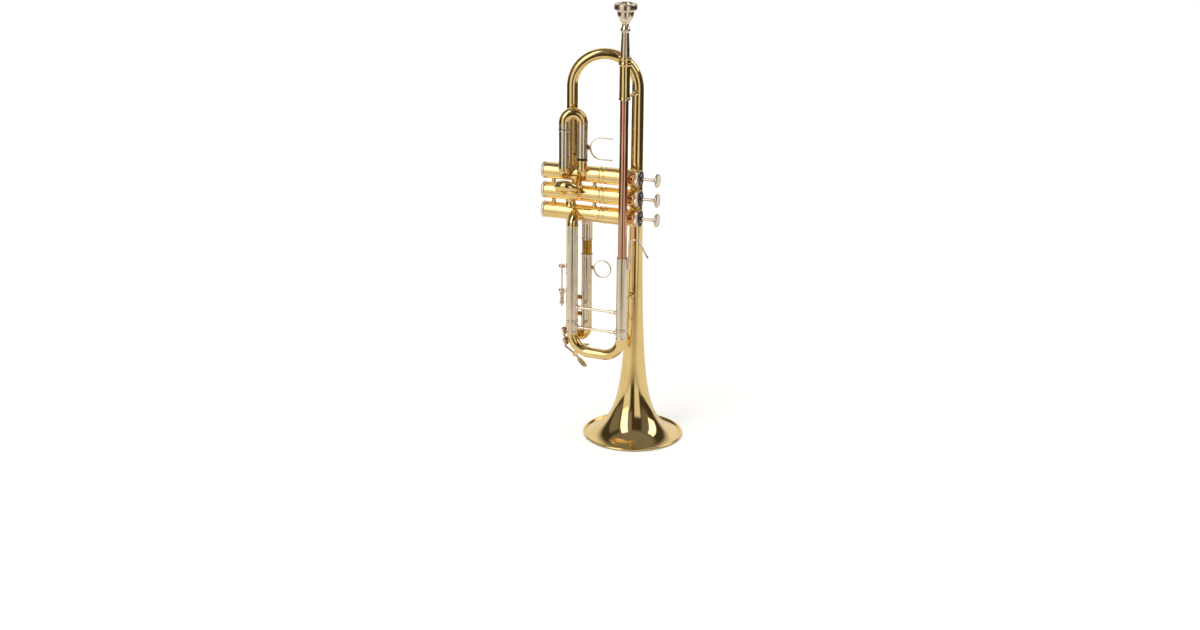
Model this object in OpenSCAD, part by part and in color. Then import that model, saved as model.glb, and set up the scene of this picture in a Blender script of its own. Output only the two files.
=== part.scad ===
// A B-flat trumpet standing on its bell. The origin is the centre of the bell's rim plane,
// +Z runs up the bell's axis to the mouthpiece, +X to the finger buttons, and the player's
// right-hand side is -Y. Lengths are in millimetres.

/* [Bell] */
// Outer radius of the bell's rim
bell_rim_r = 61.5; // [60:0.5:64]
// Radius that the bell's flare tends to far up its tail
bell_tail_r = 4.5; // [4:0.1:5]
// How strongly the bell flares
bell_flare_k = 1100; // [1050:10:1120]
// Depth of the virtual apex behind the rim plane
bell_flare_z = 19.2; // [18.8:0.1:20]
// Height of the centre of the bell's bow
bow_z = 438.2; // [430:1:444]
// Thickness of the bell's sheet
bell_wall = 0.5; // [0.4:0.05:0.8]

/* [Leadpipe side] */
// X of the leadpipe's axis
lead_x = -3; // [-4:0.5:-2]
// Y of the leadpipe's axis
lead_y = -41; // [-43:0.5:-40]
// Top of the mouthpiece's rim
mouth_top = 544; // [543:0.5:548]
// Mouth of the receiver
receiver_top = 482; // [481:0.5:483]

/* [Valves] */
// Distance between the axes of neighbouring valves
valve_pitch = 24.4; // [24.2:0.1:25]
// Height of the middle valve's axis
valve_mid_z = 308.6; // [308:0.1:309]
// Y of the valves' axes
valve_y = -21; // [-21.5:0.1:-20.5]
// Outer radius of the lower casings
casing_r = 9.8; // [9.6:0.1:10]
// Radius of the bore in each casing
casing_bore_r = 8.35; // [8.34:0.01:8.38]
// Radius of the pistons, a running fit in the bore
piston_r = 8.30; // [8.28:0.01:8.31]
// How far a piston travels
valve_travel = 16.3; // [14:0.1:16.4]

/* [Tubes and slides] */
// Outer radius of the outer slide tubes
outer_r = 6.6; // [6.5:0.05:6.7]
// Bore of the outer slide tubes
outer_bore_r = 6.1; // [6.05:0.05:6.15]
// Outer radius of the inner slide tubes, a running fit
inner_r = 6.05; // [6:0.01:6.06]
// Bore of the inner slide tubes and crooks
bore_r = 5.83; // [5.7:0.01:5.9]
// X of the lower main slide tube's axis
low_x = -67; // [-68:0.5:-66]
// Y of the lower main slide tube's axis
low_y = -38; // [-39:0.5:-37.5]
// Radius of the main crook's two bends
crook_bend_r = 24; // [22:0.5:28]
// Height of the centres of the main crook's bends
crook_z = 137.5; // [136:0.5:138]
// How far the third slide is drawn out, down to its stop
third_out = 17.5; // [5:0.5:17.5]

/* [Hidden] */
$fn = 64;

// Colours
brass = [0.83, 0.62, 0.28];
gold = [0.88, 0.68, 0.32];
rose = [0.72, 0.42, 0.31];
nickel = [0.72, 0.68, 0.62];
silver = [0.80, 0.77, 0.73];
black = [0.06, 0.06, 0.06];
cork = [0.66, 0.42, 0.28];
pearl = [0.92, 0.88, 0.82];

// The extra length of a cutting tool past the face that it cuts, and the gap between neighbours
eps = 1;
gap = 0.4;

// The small step in radius where a straight tube or bar meets a bend
step = 0.05;

// Heights of the three valves: the first is next to the mouthpiece
valve_z = [valve_mid_z + valve_pitch, valve_mid_z, valve_mid_z - valve_pitch];

// Places along a valve's axis
bottom_cap_x = -111.2;
casing_x0 = -107;
ring_x0 = -38;
ring_x1 = -31;
casing_x1 = 6;
cap_x1 = 12;
washer_x1 = 12.9;
button_x0 = 29.6;
button_x1 = 34.5;
piston_x0 = -86.5;
piston_x1 = -34;
barrel_x1 = -1;
guide_x = -31;
upper_casing_r = 10.3;
ring_r = 10.6;
cap_r = 10.5;
stem_r = 1.75;
button_r = 8.5;
barrel_r = 7;
barrel_bore_r = 6.3;
guide_wing = 3;
port_x = [-75.5, -68];
inlet_x = low_x;

// Bell bow: the tail is on the Z axis, the other leg drops into the first valve
bow_leg = [-75.5, -18];
bow_r = norm(bow_leg) / 2;
bow_angle = atan2(bow_leg[1], bow_leg[0]);
bow_tube_r = 6.5;
bow_bore_r = 6;

// Slide legs
first_a = [-78.5, -37];
first_b = [-58.5, -30];
first_ring_a = 389;
first_ring_b = 355;
first_crook_z = 398;
elbow_r = 8;
second_x = [-64, -83];
second_lift = 28;
second_out = 17;
second_crook = 22;
third_x = [-54.5, -74.5];
third_crook_z = 138.5;
third_ring_z = 252;
third_post_z = 205;
slide_ring_z = 148;
low_tube_z1 = 272;
low_elbow_r = valve_z[2] - low_tube_z1;
receiver_z0 = 431.5;
lead_z0 = 229;
upper_tube_z1 = 240;
stop_x = -86.7;

// ---- shapes that repeat ----

// A ring-shaped section on an arc in the XZ plane, from angle a0 to a1 about the origin
module bend(centre_r, ro, ri, a0, a1) {
    rotate([90, 0, 0]) rotate([0, 0, a0]) rotate_extrude(angle = a1 - a0) translate([centre_r, 0])
        difference() {
            circle(r = ro);
            if (ri > 0) circle(r = ri);
        }
}

// A straight tube along +Z
module tube(z0, z1, ro, ri) {
    translate([0, 0, z0]) difference() {
        cylinder(h = z1 - z0, r = ro);
        translate([0, 0, -eps]) cylinder(h = z1 - z0 + 2 * eps, r = ri);
    }
}

// A round bar from point p to point q
module bar(p, q, r) {
    v = q - p;
    translate(p) rotate([0, acos(v[2] / norm(v)), atan2(v[1], v[0])]) cylinder(h = norm(v), r = r);
}

// Children placed on valve n with the valve's axis along +X
module on_valve(n) {
    translate([0, valve_y, valve_z[n]]) children();
}

// A solid of revolution about the X axis, from x0 to x1
module disc_x(x0, x1, r) {
    translate([x0, 0, 0]) rotate([0, 90, 0]) cylinder(h = x1 - x0, r = r);
}

// The outside of a casing, to trim what is soldered to it
module casing_space(n) {
    on_valve(n) disc_x(casing_x0 - 20, ring_x0, casing_r);
}

// One side of a windway, from the valve's axis out to its wall
module port(x_in, x_out, angle, r, depth) {
    p = [x_in, 0, 0];
    q = [x_out, depth * cos(angle), depth * sin(angle)];
    bar(p, q + (q - p) * 0.2, r);
}

// A windway through a piston, between two ports of the casing
module windway(xa, angle_a, xb, angle_b, r, depth) {
    mid = (xa + xb) / 2;
    port(mid, xa, angle_a, r, depth);
    port(mid, xb, angle_b, r, depth);
    translate([mid, 0, 0]) sphere(r = r + 3 * step);
}

// Points of a coil's surface: `turns` of wire about the X axis
function coil_point(t, a, coil_r, wire_r, len, turns) =
    let (phi = 360 * turns * t, rr = coil_r + wire_r * cos(a))
    [len * t + wire_r * sin(a), rr * cos(phi), rr * sin(phi)];

// A coil spring along +X, from 0 to len
module coil(len, coil_r, wire_r, turns, steps, sides) {
    rings = turns * steps;
    points = [
        for (i = [0 : rings], j = [0 : sides - 1])
            coil_point(i / rings, -360 * j / sides, coil_r, wire_r, len, turns)
    ];
    walls = [
        for (i = [0 : rings - 1], j = [0 : sides - 1])
            let (k = (j + 1) % sides, b = i * sides, t = b + sides)
            [b + j, b + k, t + k, t + j]
    ];
    start = [for (j = [sides - 1 : -1 : 0]) j];
    end = [for (j = [0 : sides - 1]) rings * sides + j];
    polyhedron(points = points, faces = concat(walls, [start, end]), convexity = 10);
}

// ---- bell ----

function flare(z) = bell_tail_r + bell_flare_k / (z + bell_flare_z);
function flare_slope(z) = -bell_flare_k / pow(z + bell_flare_z, 2);
function flare_inside(z) =
    let (s = flare_slope(z), n = sqrt(1 + s * s))
    [flare(z) - bell_wall / n, z + bell_wall * s / n];

flare_z0 = 0.8;
flare_steps = 40;
flare_power = 2.2;
flare_heights = [
    for (i = [0 : flare_steps]) flare_z0 + (bow_z - flare_z0) * pow(i / flare_steps, flare_power)
];
rim_wire_r = 1.4;
rim_land = 0.1;

module rim_wire() {
    rotate_extrude() translate([bell_rim_r - rim_wire_r, rim_wire_r - rim_land]) circle(r = rim_wire_r);
}

module bell_rim() {
    color(gold) intersection() {
        rim_wire();
        cylinder(h = 4 * rim_wire_r, r = bell_rim_r + eps);
    }
}

module bell() {
    outside = [for (z = flare_heights) [flare(z), z]];
    last = len(flare_heights) - 1;
    inside = [for (i = [last : -1 : 0]) flare_inside(flare_heights[i])];
    color(gold) difference() {
        rotate_extrude() polygon(concat(outside, [[flare(bow_z) - bell_wall, bow_z]], inside));
        rim_wire();
        translate([0, 0, bow_z - 0.05]) cylinder(h = 2 * eps, r = 2 * bell_tail_r);
    }
}

module bell_bow() {
    color(gold) {
        rotate([0, 0, bow_angle]) translate([bow_r, 0, bow_z])
            bend(bow_r, bow_tube_r, bow_bore_r, 0, 180);
        translate([bow_leg[0], bow_leg[1], 0])
            tube(valve_z[0] + casing_r + gap, bow_z, bow_tube_r - step, bow_bore_r + step);
    }
}

ferrule_z0 = 338;
ferrule_z1 = 349;
ferrule_r = 7.1;

module bell_ferrule() {
    color(gold) difference() {
        translate([bow_leg[0], bow_leg[1], 0]) tube(ferrule_z0, ferrule_z1, ferrule_r, bow_tube_r - step);
        casing_space(0);
    }
}

brace_high_z = 432.7;
brace_low_z = 184;
brace_rod_r = 1.7;
brace_foot_r = 3.6;

// A short brace from the leadpipe side to the bell, with a round foot at each end
module bell_brace(z, tube_r) {
    a = [lead_x, lead_y, z];
    b = [0, 0, z];
    u = (b - a) / norm(b - a);
    difference() {
        union() {
            bar(a, b, brace_rod_r);
            bar(a, a + u * (tube_r + 1.6), brace_foot_r);
            bar(b, b - u * (flare(z) + 1.6), brace_foot_r);
        }
        translate([lead_x, lead_y, 0]) cylinder(h = bow_z, r = tube_r);
        translate([0, 0, z - 10]) cylinder(h = 20, r1 = flare(z - 10), r2 = flare(z + 10));
    }
}

module bell_braces() {
    color(gold) {
        bell_brace(brace_high_z, receiver_ring_r);
        bell_brace(brace_low_z, outer_r);
    }
}

// ---- mouthpiece, receiver and leadpipe ----

shank_z0 = 457;
shank_end_r = 4.85;
shank_r = 5.4;
receiver_ring_r = 6.9;
throat_r = 1.83;

// Outside and inside of the mouthpiece, as radius and height from the bottom of the shank
module mouthpiece_profile() {
    h = mouth_top - shank_z0;
    polygon([
        [4.35, 0], [shank_end_r, 0], [shank_r, 26], [5.2, 35], [4.6, 48], [4.4, 52], [4.5, 54],
        [5.7, 55.6], [5.9, 57], [5.6, 58.4], [4.1, 61], [3.95, 62.6], [5, 65], [7.3, 68],
        [8.9, 72], [9.7, 76], [9.9, h - 8.5], [12.2, h - 7.9], [13.1, h - 6.6], [13.4, h - 4.6],
        [13.5, h - 1.8], [13.1, h - 0.6], [12.2, h], [10.4, h], [9, h - 0.5], [8.3, h - 1.6],
        [8.1, h - 3], [7.7, h - 6], [6.6, h - 9], [4.8, h - 11.4], [2.6, h - 13.4],
        [throat_r, h - 15], [throat_r, h - 20], [2.5, 50], [3.5, 28]
    ]);
}

module mouthpiece() {
    color(silver) translate([lead_x, lead_y, shank_z0]) rotate_extrude() mouthpiece_profile();
}

receiver_collar_z = 473;
receiver_collar_r = 7.5;
receiver_r = 6.1;
lead_top_z = 455;
lead_r = 5;
lead_low_r = 5.5;
lead_taper_z = 300;
lead_wall = 0.5;

module mouthpiece_receiver() {
    fit = 0.05;
    color(gold) translate([lead_x, lead_y, 0]) difference() {
        union() {
            translate([0, 0, receiver_z0]) cylinder(h = receiver_top - receiver_z0, r = receiver_r);
            translate([0, 0, receiver_z0]) cylinder(h = 2.4, r = receiver_ring_r);
            translate([0, 0, receiver_collar_z])
                cylinder(h = receiver_top - receiver_collar_z, r = receiver_collar_r);
        }
        translate([0, 0, shank_z0 - gap]) cylinder(
            h = mouth_top - shank_z0,
            r1 = shank_end_r + fit,
            r2 = shank_end_r + fit + (shank_r - shank_end_r) / 26 * (mouth_top - shank_z0)
        );
        translate([0, 0, receiver_z0 - eps]) cylinder(h = lead_top_z - receiver_z0 + 2.5, r = lead_r + 0.02);
    }
}

module leadpipe() {
    color(rose) translate([lead_x, lead_y, 0]) {
        difference() {
            union() {
                translate([0, 0, lead_z0]) cylinder(h = lead_taper_z - lead_z0, r = lead_low_r);
                translate([0, 0, lead_taper_z]) cylinder(h = 100, r1 = lead_low_r, r2 = lead_r);
                translate([0, 0, lead_taper_z + 100])
                    cylinder(h = lead_top_z - lead_taper_z - 100, r = lead_r);
            }
            translate([0, 0, lead_z0 - eps]) cylinder(h = lead_top_z, r = lead_r - lead_wall);
        }
    }
}

slide_ring_h = 2.5;
slide_ring_r = 7.3;

module upper_slide_tube() {
    color(nickel) translate([lead_x, lead_y, 0]) difference() {
        union() {
            translate([0, 0, slide_ring_z]) cylinder(h = upper_tube_z1 - slide_ring_z, r = outer_r);
            translate([0, 0, slide_ring_z]) cylinder(h = slide_ring_h, r = slide_ring_r);
        }
        translate([0, 0, slide_ring_z - eps]) cylinder(h = lead_z0 - slide_ring_z, r = outer_bore_r);
        translate([0, 0, slide_ring_z]) cylinder(h = upper_tube_z1, r = lead_low_r + 0.02);
    }
}

low_ring_z = 151;

module lower_slide_tube() {
    color(nickel) translate([low_x, low_y, 0]) difference() {
        union() {
            translate([0, 0, low_ring_z]) cylinder(h = low_tube_z1 - low_ring_z, r = outer_r);
            translate([0, 0, low_ring_z]) cylinder(h = slide_ring_h, r = slide_ring_r);
        }
        translate([0, 0, low_ring_z - eps]) cylinder(h = 200, r = outer_bore_r);
    }
}

module inlet_elbow() {
    color(gold) difference() {
        translate([low_x, low_y + low_elbow_r, low_tube_z1]) rotate([0, 0, 90])
            bend(low_elbow_r, outer_r - 0.1, bore_r, 90, 180);
        casing_space(2);
    }
}

tube_brace_z = 169.5;
rod_r = 1.6;
foot_r = 3.4;

// A thin brace between the two main slide tubes, with a foot on each
module slide_rod(z, r) {
    a = [low_x, low_y, z];
    b = [lead_x, lead_y, z];
    u = (b - a) / norm(b - a);
    difference() {
        union() {
            bar(a, b, rod_r);
            bar(a, a + u * (r + 1.8), foot_r);
            bar(b, b - u * (r + 1.8), foot_r);
        }
        for (p = [a, b]) translate([p[0], p[1], z - 10]) cylinder(h = 20, r = r);
    }
}

module tube_brace() {
    color(nickel) slide_rod(tube_brace_z, outer_r);
}

hook_r = 1.5;
hook_bend = 7;
hook_x = 5.6;
hook_foot = [2.2, 2.4, 13];
hook_z0 = 227;
hook_z1 = 257;
hook_turn = 30;
hook_len = 20;

module finger_hook() {
    c = [hook_x + hook_bend, 0, hook_z1];
    s = c + hook_bend * [cos(hook_turn), 0, sin(hook_turn)];
    end = s + hook_len * [sin(hook_turn), 0, -cos(hook_turn)];
    color(silver) difference() {
        translate([0, lead_y, 0]) union() {
            translate([hook_x - hook_foot[0], -hook_foot[1] / 2, hook_z0]) cube(hook_foot);
            bar([hook_x, 0, hook_z0], [hook_x, 0, hook_z1], hook_r);
            translate(c) bend(hook_bend, hook_r + step, 0, hook_turn, 180);
            bar(s, end, hook_r);
        }
        translate([lead_x, lead_y, lead_z0 - 10]) cylinder(h = upper_tube_z1 - lead_z0 + 10, r = outer_r);
    }
}

// ---- valves ----

module casing(n, ports) {
    color(brass) on_valve(n) difference() {
        union() {
            disc_x(casing_x0, ring_x0, casing_r);
            disc_x(ring_x0, ring_x1, casing_r + 0.1);
            disc_x(ring_x0, ring_x0 + 1.4, ring_r);
            disc_x(ring_x1 - 1.4, ring_x1, ring_r);
            disc_x(ring_x1, casing_x1, upper_casing_r);
        }
        disc_x(casing_x0 - eps, casing_x1 + eps, casing_bore_r);
        for (p = ports) translate([p[0], 0, 0]) rotate([p[1], 0, 0]) cylinder(h = 3 * casing_r, r = bore_r);
        for (s = [-1, 1]) translate([guide_x, s * casing_bore_r, 0])
            cube([1.7, 1.2, guide_wing + 0.1], center = true);
    }
}

// Ports as [x, rotation about the valve's axis]: 0 opens to +Z, 90 to -Y and 180 to -Z
module valve_casing_1() casing(0, [[port_x[0], 0], [port_x[1], 180], [first_a[0], 90], [first_b[0], 90]]);
module valve_casing_2() casing(1, [
    [port_x[1], 0], [port_x[0], 180], [second_x[0], 90 - second_lift], [second_x[1], 90 - second_lift]
]);
module valve_casing_3() casing(2, [[port_x[0], 0], [inlet_x, 90], [third_x[0], 180], [third_x[1], 180]]);

module casing_spacers() {
    spacer_r = 2.6;
    color(brass) difference() {
        for (n = [0, 1], x = [-97.4, -45.5])
            translate([x, valve_y, valve_z[n + 1]]) cylinder(h = valve_pitch, r = spacer_r);
        for (n = [0 : 2]) casing_space(n);
    }
}

module intervalve_tubes() {
    color(gold) difference() {
        for (n = [0, 1])
            translate([port_x[1 - n], valve_y, 0]) tube(valve_z[n + 1], valve_z[n], outer_r - 0.3, bore_r);
        for (n = [0 : 2]) casing_space(n);
    }
}

spigot_h = 3;
spigot_r = 8.3;

module bottom_caps() {
    color(silver) for (n = [0 : 2]) on_valve(n) difference() {
        union() {
            disc_x(bottom_cap_x, casing_x0, cap_r - 0.3);
            disc_x(casing_x0, casing_x0 + spigot_h, spigot_r);
        }
        disc_x(bottom_cap_x + 1.2, casing_x0 + spigot_h + eps, spigot_r - 1.2);
        disc_x(bottom_cap_x - eps, casing_x0, 1.5);
    }
}

module top_caps() {
    color(silver) for (n = [0 : 2]) on_valve(n) difference() {
        union() {
            disc_x(casing_x1, cap_x1, cap_r);
            disc_x(casing_x1 - spigot_h, casing_x1, spigot_r);
        }
        disc_x(casing_x1 - spigot_h - eps, cap_x1 - 4, spigot_r - 1.2);
        disc_x(0, cap_x1 + eps, stem_r + 0.5);
    }
}

washer_r = 9.6;

module cap_washers() {
    color(black) for (n = [0 : 2]) on_valve(n) difference() {
        disc_x(cap_x1, washer_x1, washer_r);
        disc_x(cap_x1 - eps, washer_x1 + eps, stem_r + 0.5);
        for (s = [-1, 1]) translate([0, 0, s * 4.3]) disc_x(cap_x1 - eps, washer_x1 + eps, 0.9);
    }
}

module valve_guides() {
    color(brass) for (n = [0 : 2]) on_valve(n) {
        difference() {
            union() {
                disc_x(guide_x - 0.75, guide_x + 0.75, barrel_bore_r - 0.2);
                translate([guide_x, 0, 0]) cube([1.5, 2 * casing_bore_r + 0.8, guide_wing], center = true);
            }
            disc_x(guide_x - eps, guide_x + eps, 2.2);
        }
    }
}

// The piston below, and above it the slotted barrel that holds the spring
module piston(n, ways) {
    color(nickel) on_valve(n) difference() {
        union() {
            disc_x(piston_x0, piston_x1, piston_r);
            disc_x(piston_x1, barrel_x1, barrel_r);
        }
        disc_x(piston_x1, barrel_x1 - 1, barrel_bore_r);
        translate([piston_x1 + eps, -casing_bore_r, -guide_wing / 2 - 0.3])
            cube([valve_travel + 4, 2 * casing_bore_r, guide_wing + 0.6]);
        for (w = ways) windway(w[0], w[1], w[2], w[3], bore_r - 0.6, casing_bore_r);
    }
}

// Windways as [x, angle, x, angle]: 90 is +Z, 180 is -Y and 270 is -Z
module piston_1() piston(0, [[port_x[0], 90, port_x[1], 270], [-56, 90, -50, 180]]);
module piston_2() piston(1, [[port_x[1], 90, port_x[0], 270], [-56, 90, -50, 180]]);
module piston_3() piston(2, [[port_x[0], 90, inlet_x, 180], [-56, 90, -50, 270]]);

module valve_stem(n) {
    color(silver) on_valve(n) disc_x(barrel_x1, button_x0, stem_r);
}
module valve_stem_1() valve_stem(0);
module valve_stem_2() valve_stem(1);
module valve_stem_3() valve_stem(2);

pearl_r = 6.2;
pearl_depth = 1;

module finger_button(n) {
    color(silver) on_valve(n) difference() {
        union() {
            disc_x(button_x0, button_x0 + 1.4, 4.6);
            disc_x(button_x0 + 1.4, button_x1, button_r);
        }
        disc_x(button_x1 - pearl_depth, button_x1 + eps, pearl_r);
    }
}
module finger_button_1() finger_button(0);
module finger_button_2() finger_button(1);
module finger_button_3() finger_button(2);

module button_pearl(n) {
    color(pearl) on_valve(n) disc_x(button_x1 - pearl_depth, button_x1 - 0.1, pearl_r - 0.02);
}
module button_pearl_1() button_pearl(0);
module button_pearl_2() button_pearl(1);
module button_pearl_3() button_pearl(2);

module valve_spring(n) {
    wire_r = 0.45;
    x0 = guide_x + 0.75 + 2 * wire_r;
    x1 = barrel_x1 - 1 - 2 * wire_r;
    color(nickel) on_valve(n) translate([x0, 0, 0]) coil(x1 - x0, 4.9, wire_r, 7, 12, 6);
}
module valve_spring_1() valve_spring(0);
module valve_spring_2() valve_spring(1);
module valve_spring_3() valve_spring(2);

// ---- main tuning slide and its water key ----

slide_in_z = 215;
slide_top_z = slide_ring_z - gap;
low_top_z = low_ring_z - gap;
tuning_angle = atan2(lead_y - low_y, lead_x - low_x);
tuning_span = norm([lead_x - low_x, lead_y - low_y]);

module tuning_slide_tubes() {
    color(nickel) {
        translate([lead_x, lead_y, 0]) {
            tube(crook_z, slide_in_z, inner_r, bore_r);
            tube(crook_z, slide_top_z, outer_r + 0.05, inner_r);
        }
        translate([low_x, low_y, 0]) {
            tube(crook_z, slide_in_z, inner_r, bore_r);
            tube(crook_z, low_top_z, outer_r + 0.05, inner_r);
        }
    }
}

module tuning_crook() {
    color(gold) translate([low_x, low_y, crook_z]) rotate([0, 0, tuning_angle]) {
        translate([crook_bend_r, 0, 0]) bend(crook_bend_r, outer_r - 0.1, bore_r, 180, 270);
        translate([tuning_span - crook_bend_r, 0, 0]) bend(crook_bend_r, outer_r - 0.1, bore_r, 270, 360);
        translate([crook_bend_r, 0, -crook_bend_r]) rotate([0, 90, 0])
            tube(0, tuning_span - 2 * crook_bend_r, outer_r - 0.1, bore_r);
    }
}

module tuning_slide_brace() {
    color(nickel) slide_rod(144, outer_r + 0.05);
}

// A water key lies in a plane of constant Y. Its points are [x, z] about the centre of a bend.
key_pin_r = 0.8;
key_barrel_r = 2;
ear_y = 3.4;
ear_t = 1.6;
cup_r = 5;
nipple_r = 2.4;

function polar(r, a) = r * [cos(a), sin(a)];

// The two ears, the pin through them and the short spout under the pad, on a bend of a tube of
// radius tube_r whose plane is turned by tilt about Z
module key_saddle(bend_r, tube_r, tilt, pivot, cup_angle, pad_r) {
    difference() {
        union() {
            for (s = [-1, 1]) translate([0, s * ear_y - ear_t / 2, 0]) {
                translate([pivot[0], 0, pivot[1]]) rotate([-90, 0, 0]) cylinder(h = ear_t, r = 2.1);
                a = atan2(pivot[1], pivot[0]);
                rotate([0, -a, 0]) translate([bend_r, 0, -2.1]) cube([norm(pivot) - bend_r, ear_t, 4.2]);
            }
            rotate([0, -cup_angle, 0]) translate([bend_r, 0, 0]) rotate([0, 90, 0])
                cylinder(h = pad_r - bend_r, r = nipple_r);
        }
        rotate([90, 0, tilt]) rotate_extrude() translate([bend_r, 0]) circle(r = tube_r);
        rotate([0, -cup_angle, 0]) translate([bend_r, 0, 0]) rotate([0, 90, 0])
            cylinder(h = 3 * cup_r, r = 1.2);
        translate([pivot[0], -2 * ear_y, pivot[1]]) rotate([-90, 0, 0])
            cylinder(h = 4 * ear_y, r = key_pin_r + 0.02);
    }
    translate([pivot[0], -ear_y - ear_t, pivot[1]]) rotate([-90, 0, 0])
        cylinder(h = 2 * (ear_y + ear_t), r = key_pin_r);
}

// The lever: a barrel on the pin, an arm over the cup's back, and a cranked arm to the finger plate
module key_lever(pivot, cup_angle, pad_r, finger) {
    arm_r = 1.1;
    plate_r = 2.7;
    plate_h = 1.8;
    cup = polar(pad_r + 4.4, cup_angle);
    elbow = cup + polar(cup_r + 1.4, cup_angle + 90);
    crank = finger[0];
    tip = finger[1];
    difference() {
        union() {
            translate([pivot[0], -2.4, pivot[1]]) rotate([-90, 0, 0]) cylinder(h = 4.8, r = key_barrel_r);
            for (p = [[pivot, elbow], [elbow, cup], [pivot, crank], [crank, tip]])
                bar([p[0][0], 0, p[0][1]], [p[1][0], 0, p[1][1]], arm_r);
            for (p = [elbow, crank])
                translate([p[0], 0, p[1]]) rotate([0, 0, 90]) sphere(r = 1.3 * arm_r);
            translate([tip[0], 0, tip[1] - plate_h - 0.3]) cylinder(h = plate_h, r = plate_r);
            rotate([0, -cup_angle, 0]) translate([pad_r + 1.6, 0, 0]) rotate([0, 90, 0])
                cylinder(h = 2.6, r = cup_r);
        }
        translate([pivot[0], -5, pivot[1]]) rotate([-90, 0, 0]) cylinder(h = 10, r = key_pin_r + 0.05);
        rotate([0, -cup_angle, 0]) translate([pad_r, 0, 0]) rotate([0, 90, 0])
            cylinder(h = 3, r = cup_r - 0.6);
    }
}

module key_cork(cup_angle, pad_r) {
    rotate([0, -cup_angle, 0]) translate([pad_r + 0.05, 0, 0]) rotate([0, 90, 0])
        cylinder(h = 2.9, r = cup_r - 0.65);
}

main_key = [
    low_x + crook_bend_r * cos(tuning_angle), low_y + crook_bend_r * sin(tuning_angle), crook_z
];
main_pivot = [-19.3, -28.2];
main_cup_angle = 201.9;
main_pad_r = crook_bend_r + 8;
main_finger = [[-11, -37.4], [-5.5, -42.6]];
key_spring_y = 1.42;

module water_key_saddle() {
    color(silver) translate(main_key)
        key_saddle(crook_bend_r, outer_r - 0.1, tuning_angle, main_pivot, main_cup_angle, main_pad_r);
}
module water_key_lever() {
    color(silver) translate(main_key) key_lever(main_pivot, main_cup_angle, main_pad_r, main_finger);
}
module water_key_cork() {
    color(cork) translate(main_key) key_cork(main_cup_angle, main_pad_r);
}
module water_key_spring() {
    color(silver) translate(main_key + [main_pivot[0], key_spring_y, main_pivot[1]]) rotate([0, 0, 90])
        coil(0.8, 2.6, 0.22, 1.5, 16, 6);
}

third_bend_r = (third_x[0] - third_x[1]) / 2;
third_key = [(third_x[0] + third_x[1]) / 2, valve_y, third_crook_z];
third_pivot = [-12.3, -17.6];
third_cup_angle = 201.2;
third_pad_r = third_bend_r + 7.9;
third_finger = [[-1.5, -23], [12.5, -21.8]];

module third_key_saddle() {
    color(silver) translate(third_key)
        key_saddle(third_bend_r, outer_r - 0.05, 0, third_pivot, third_cup_angle, third_pad_r);
}
module third_key_lever() {
    color(silver) translate(third_key) key_lever(third_pivot, third_cup_angle, third_pad_r, third_finger);
}
module third_key_cork() {
    color(cork) translate(third_key) key_cork(third_cup_angle, third_pad_r);
}

// ---- first slide ----

socket_elbow_z = valve_z[0] + elbow_r;

// A socket that rises beside the first valve from an elbow into its front
module elbow_socket(p, z1) {
    difference() {
        union() {
            translate([p[0], p[1], 0]) tube(socket_elbow_z, z1, outer_r - 0.15, outer_bore_r);
            translate([p[0], p[1] + elbow_r, socket_elbow_z]) rotate([0, 0, 90])
                bend(elbow_r, outer_r - 0.2, bore_r, 180, 270);
        }
        casing_space(0);
    }
}

first_fixed_z = 352;

module first_slide_sockets() {
    color(nickel) {
        elbow_socket(first_a, first_ring_a);
        translate([first_a[0], first_a[1], 0])
            tube(first_ring_a - 1.4, first_ring_a, outer_r + 0.5, outer_r - 0.15);
        elbow_socket(first_b, first_fixed_z);
        translate([first_b[0], first_b[1], 0]) {
            tube(first_fixed_z - 4, first_crook_z - 3, inner_r - 0.1, bore_r - 0.2);
            tube(first_fixed_z - 4, first_fixed_z, outer_r - 0.3, bore_r);
        }
    }
}

module first_slide_tubes() {
    color(nickel) {
        translate([first_a[0], first_a[1], 0]) {
            tube(first_fixed_z, first_crook_z, inner_r, bore_r);
            tube(first_ring_a + gap, first_crook_z, outer_r - 0.15, inner_r);
        }
        translate([first_b[0], first_b[1], 0]) {
            tube(first_ring_b, first_crook_z, outer_r - 0.15, inner_r - 0.05);
            tube(first_ring_b, first_ring_b + 1.4, outer_r + 0.5, outer_r - 0.15);
        }
    }
}

first_span = norm(first_b - first_a);
first_angle = atan2(first_b[1] - first_a[1], first_b[0] - first_a[0]);

module first_slide_crook() {
    color(gold) translate([first_a[0], first_a[1], first_crook_z]) rotate([0, 0, first_angle])
        translate([first_span / 2, 0, 0]) bend(first_span / 2, outer_r - 0.15, bore_r, 0, 180);
}

saddle_c = [-35, 367.5];
saddle_r = 13;
saddle_wire = 1.3;
saddle_tip = -21;

module thumb_saddle() {
    color(silver) difference() {
        translate([0, first_b[1], 0]) union() {
            translate([saddle_c[0], 0, saddle_c[1]]) bend(saddle_r, saddle_wire, 0, 90, 270);
            for (s = [-1, 1]) {
                z = saddle_c[1] + s * saddle_r;
                bar([saddle_c[0], 0, z], [saddle_tip, 0, z], saddle_wire);
                translate([saddle_tip, 0, z]) sphere(r = saddle_wire);
            }
            bar([first_b[0], 0, saddle_c[1]], [saddle_c[0] - saddle_r, 0, saddle_c[1]], 2.4);
        }
        translate([first_b[0], first_b[1], first_ring_b]) cylinder(h = 60, r = outer_r - 0.15);
    }
}

// ---- second slide ----

// Children in a frame whose +Z points out of the second valve, along the slide
module on_second() {
    translate([0, valve_y, valve_z[1]]) rotate([90 - second_lift, 0, 0]) children();
}

second_r = 6.1;
second_bore = 5.7;
second_inner = 5.65;

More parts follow.
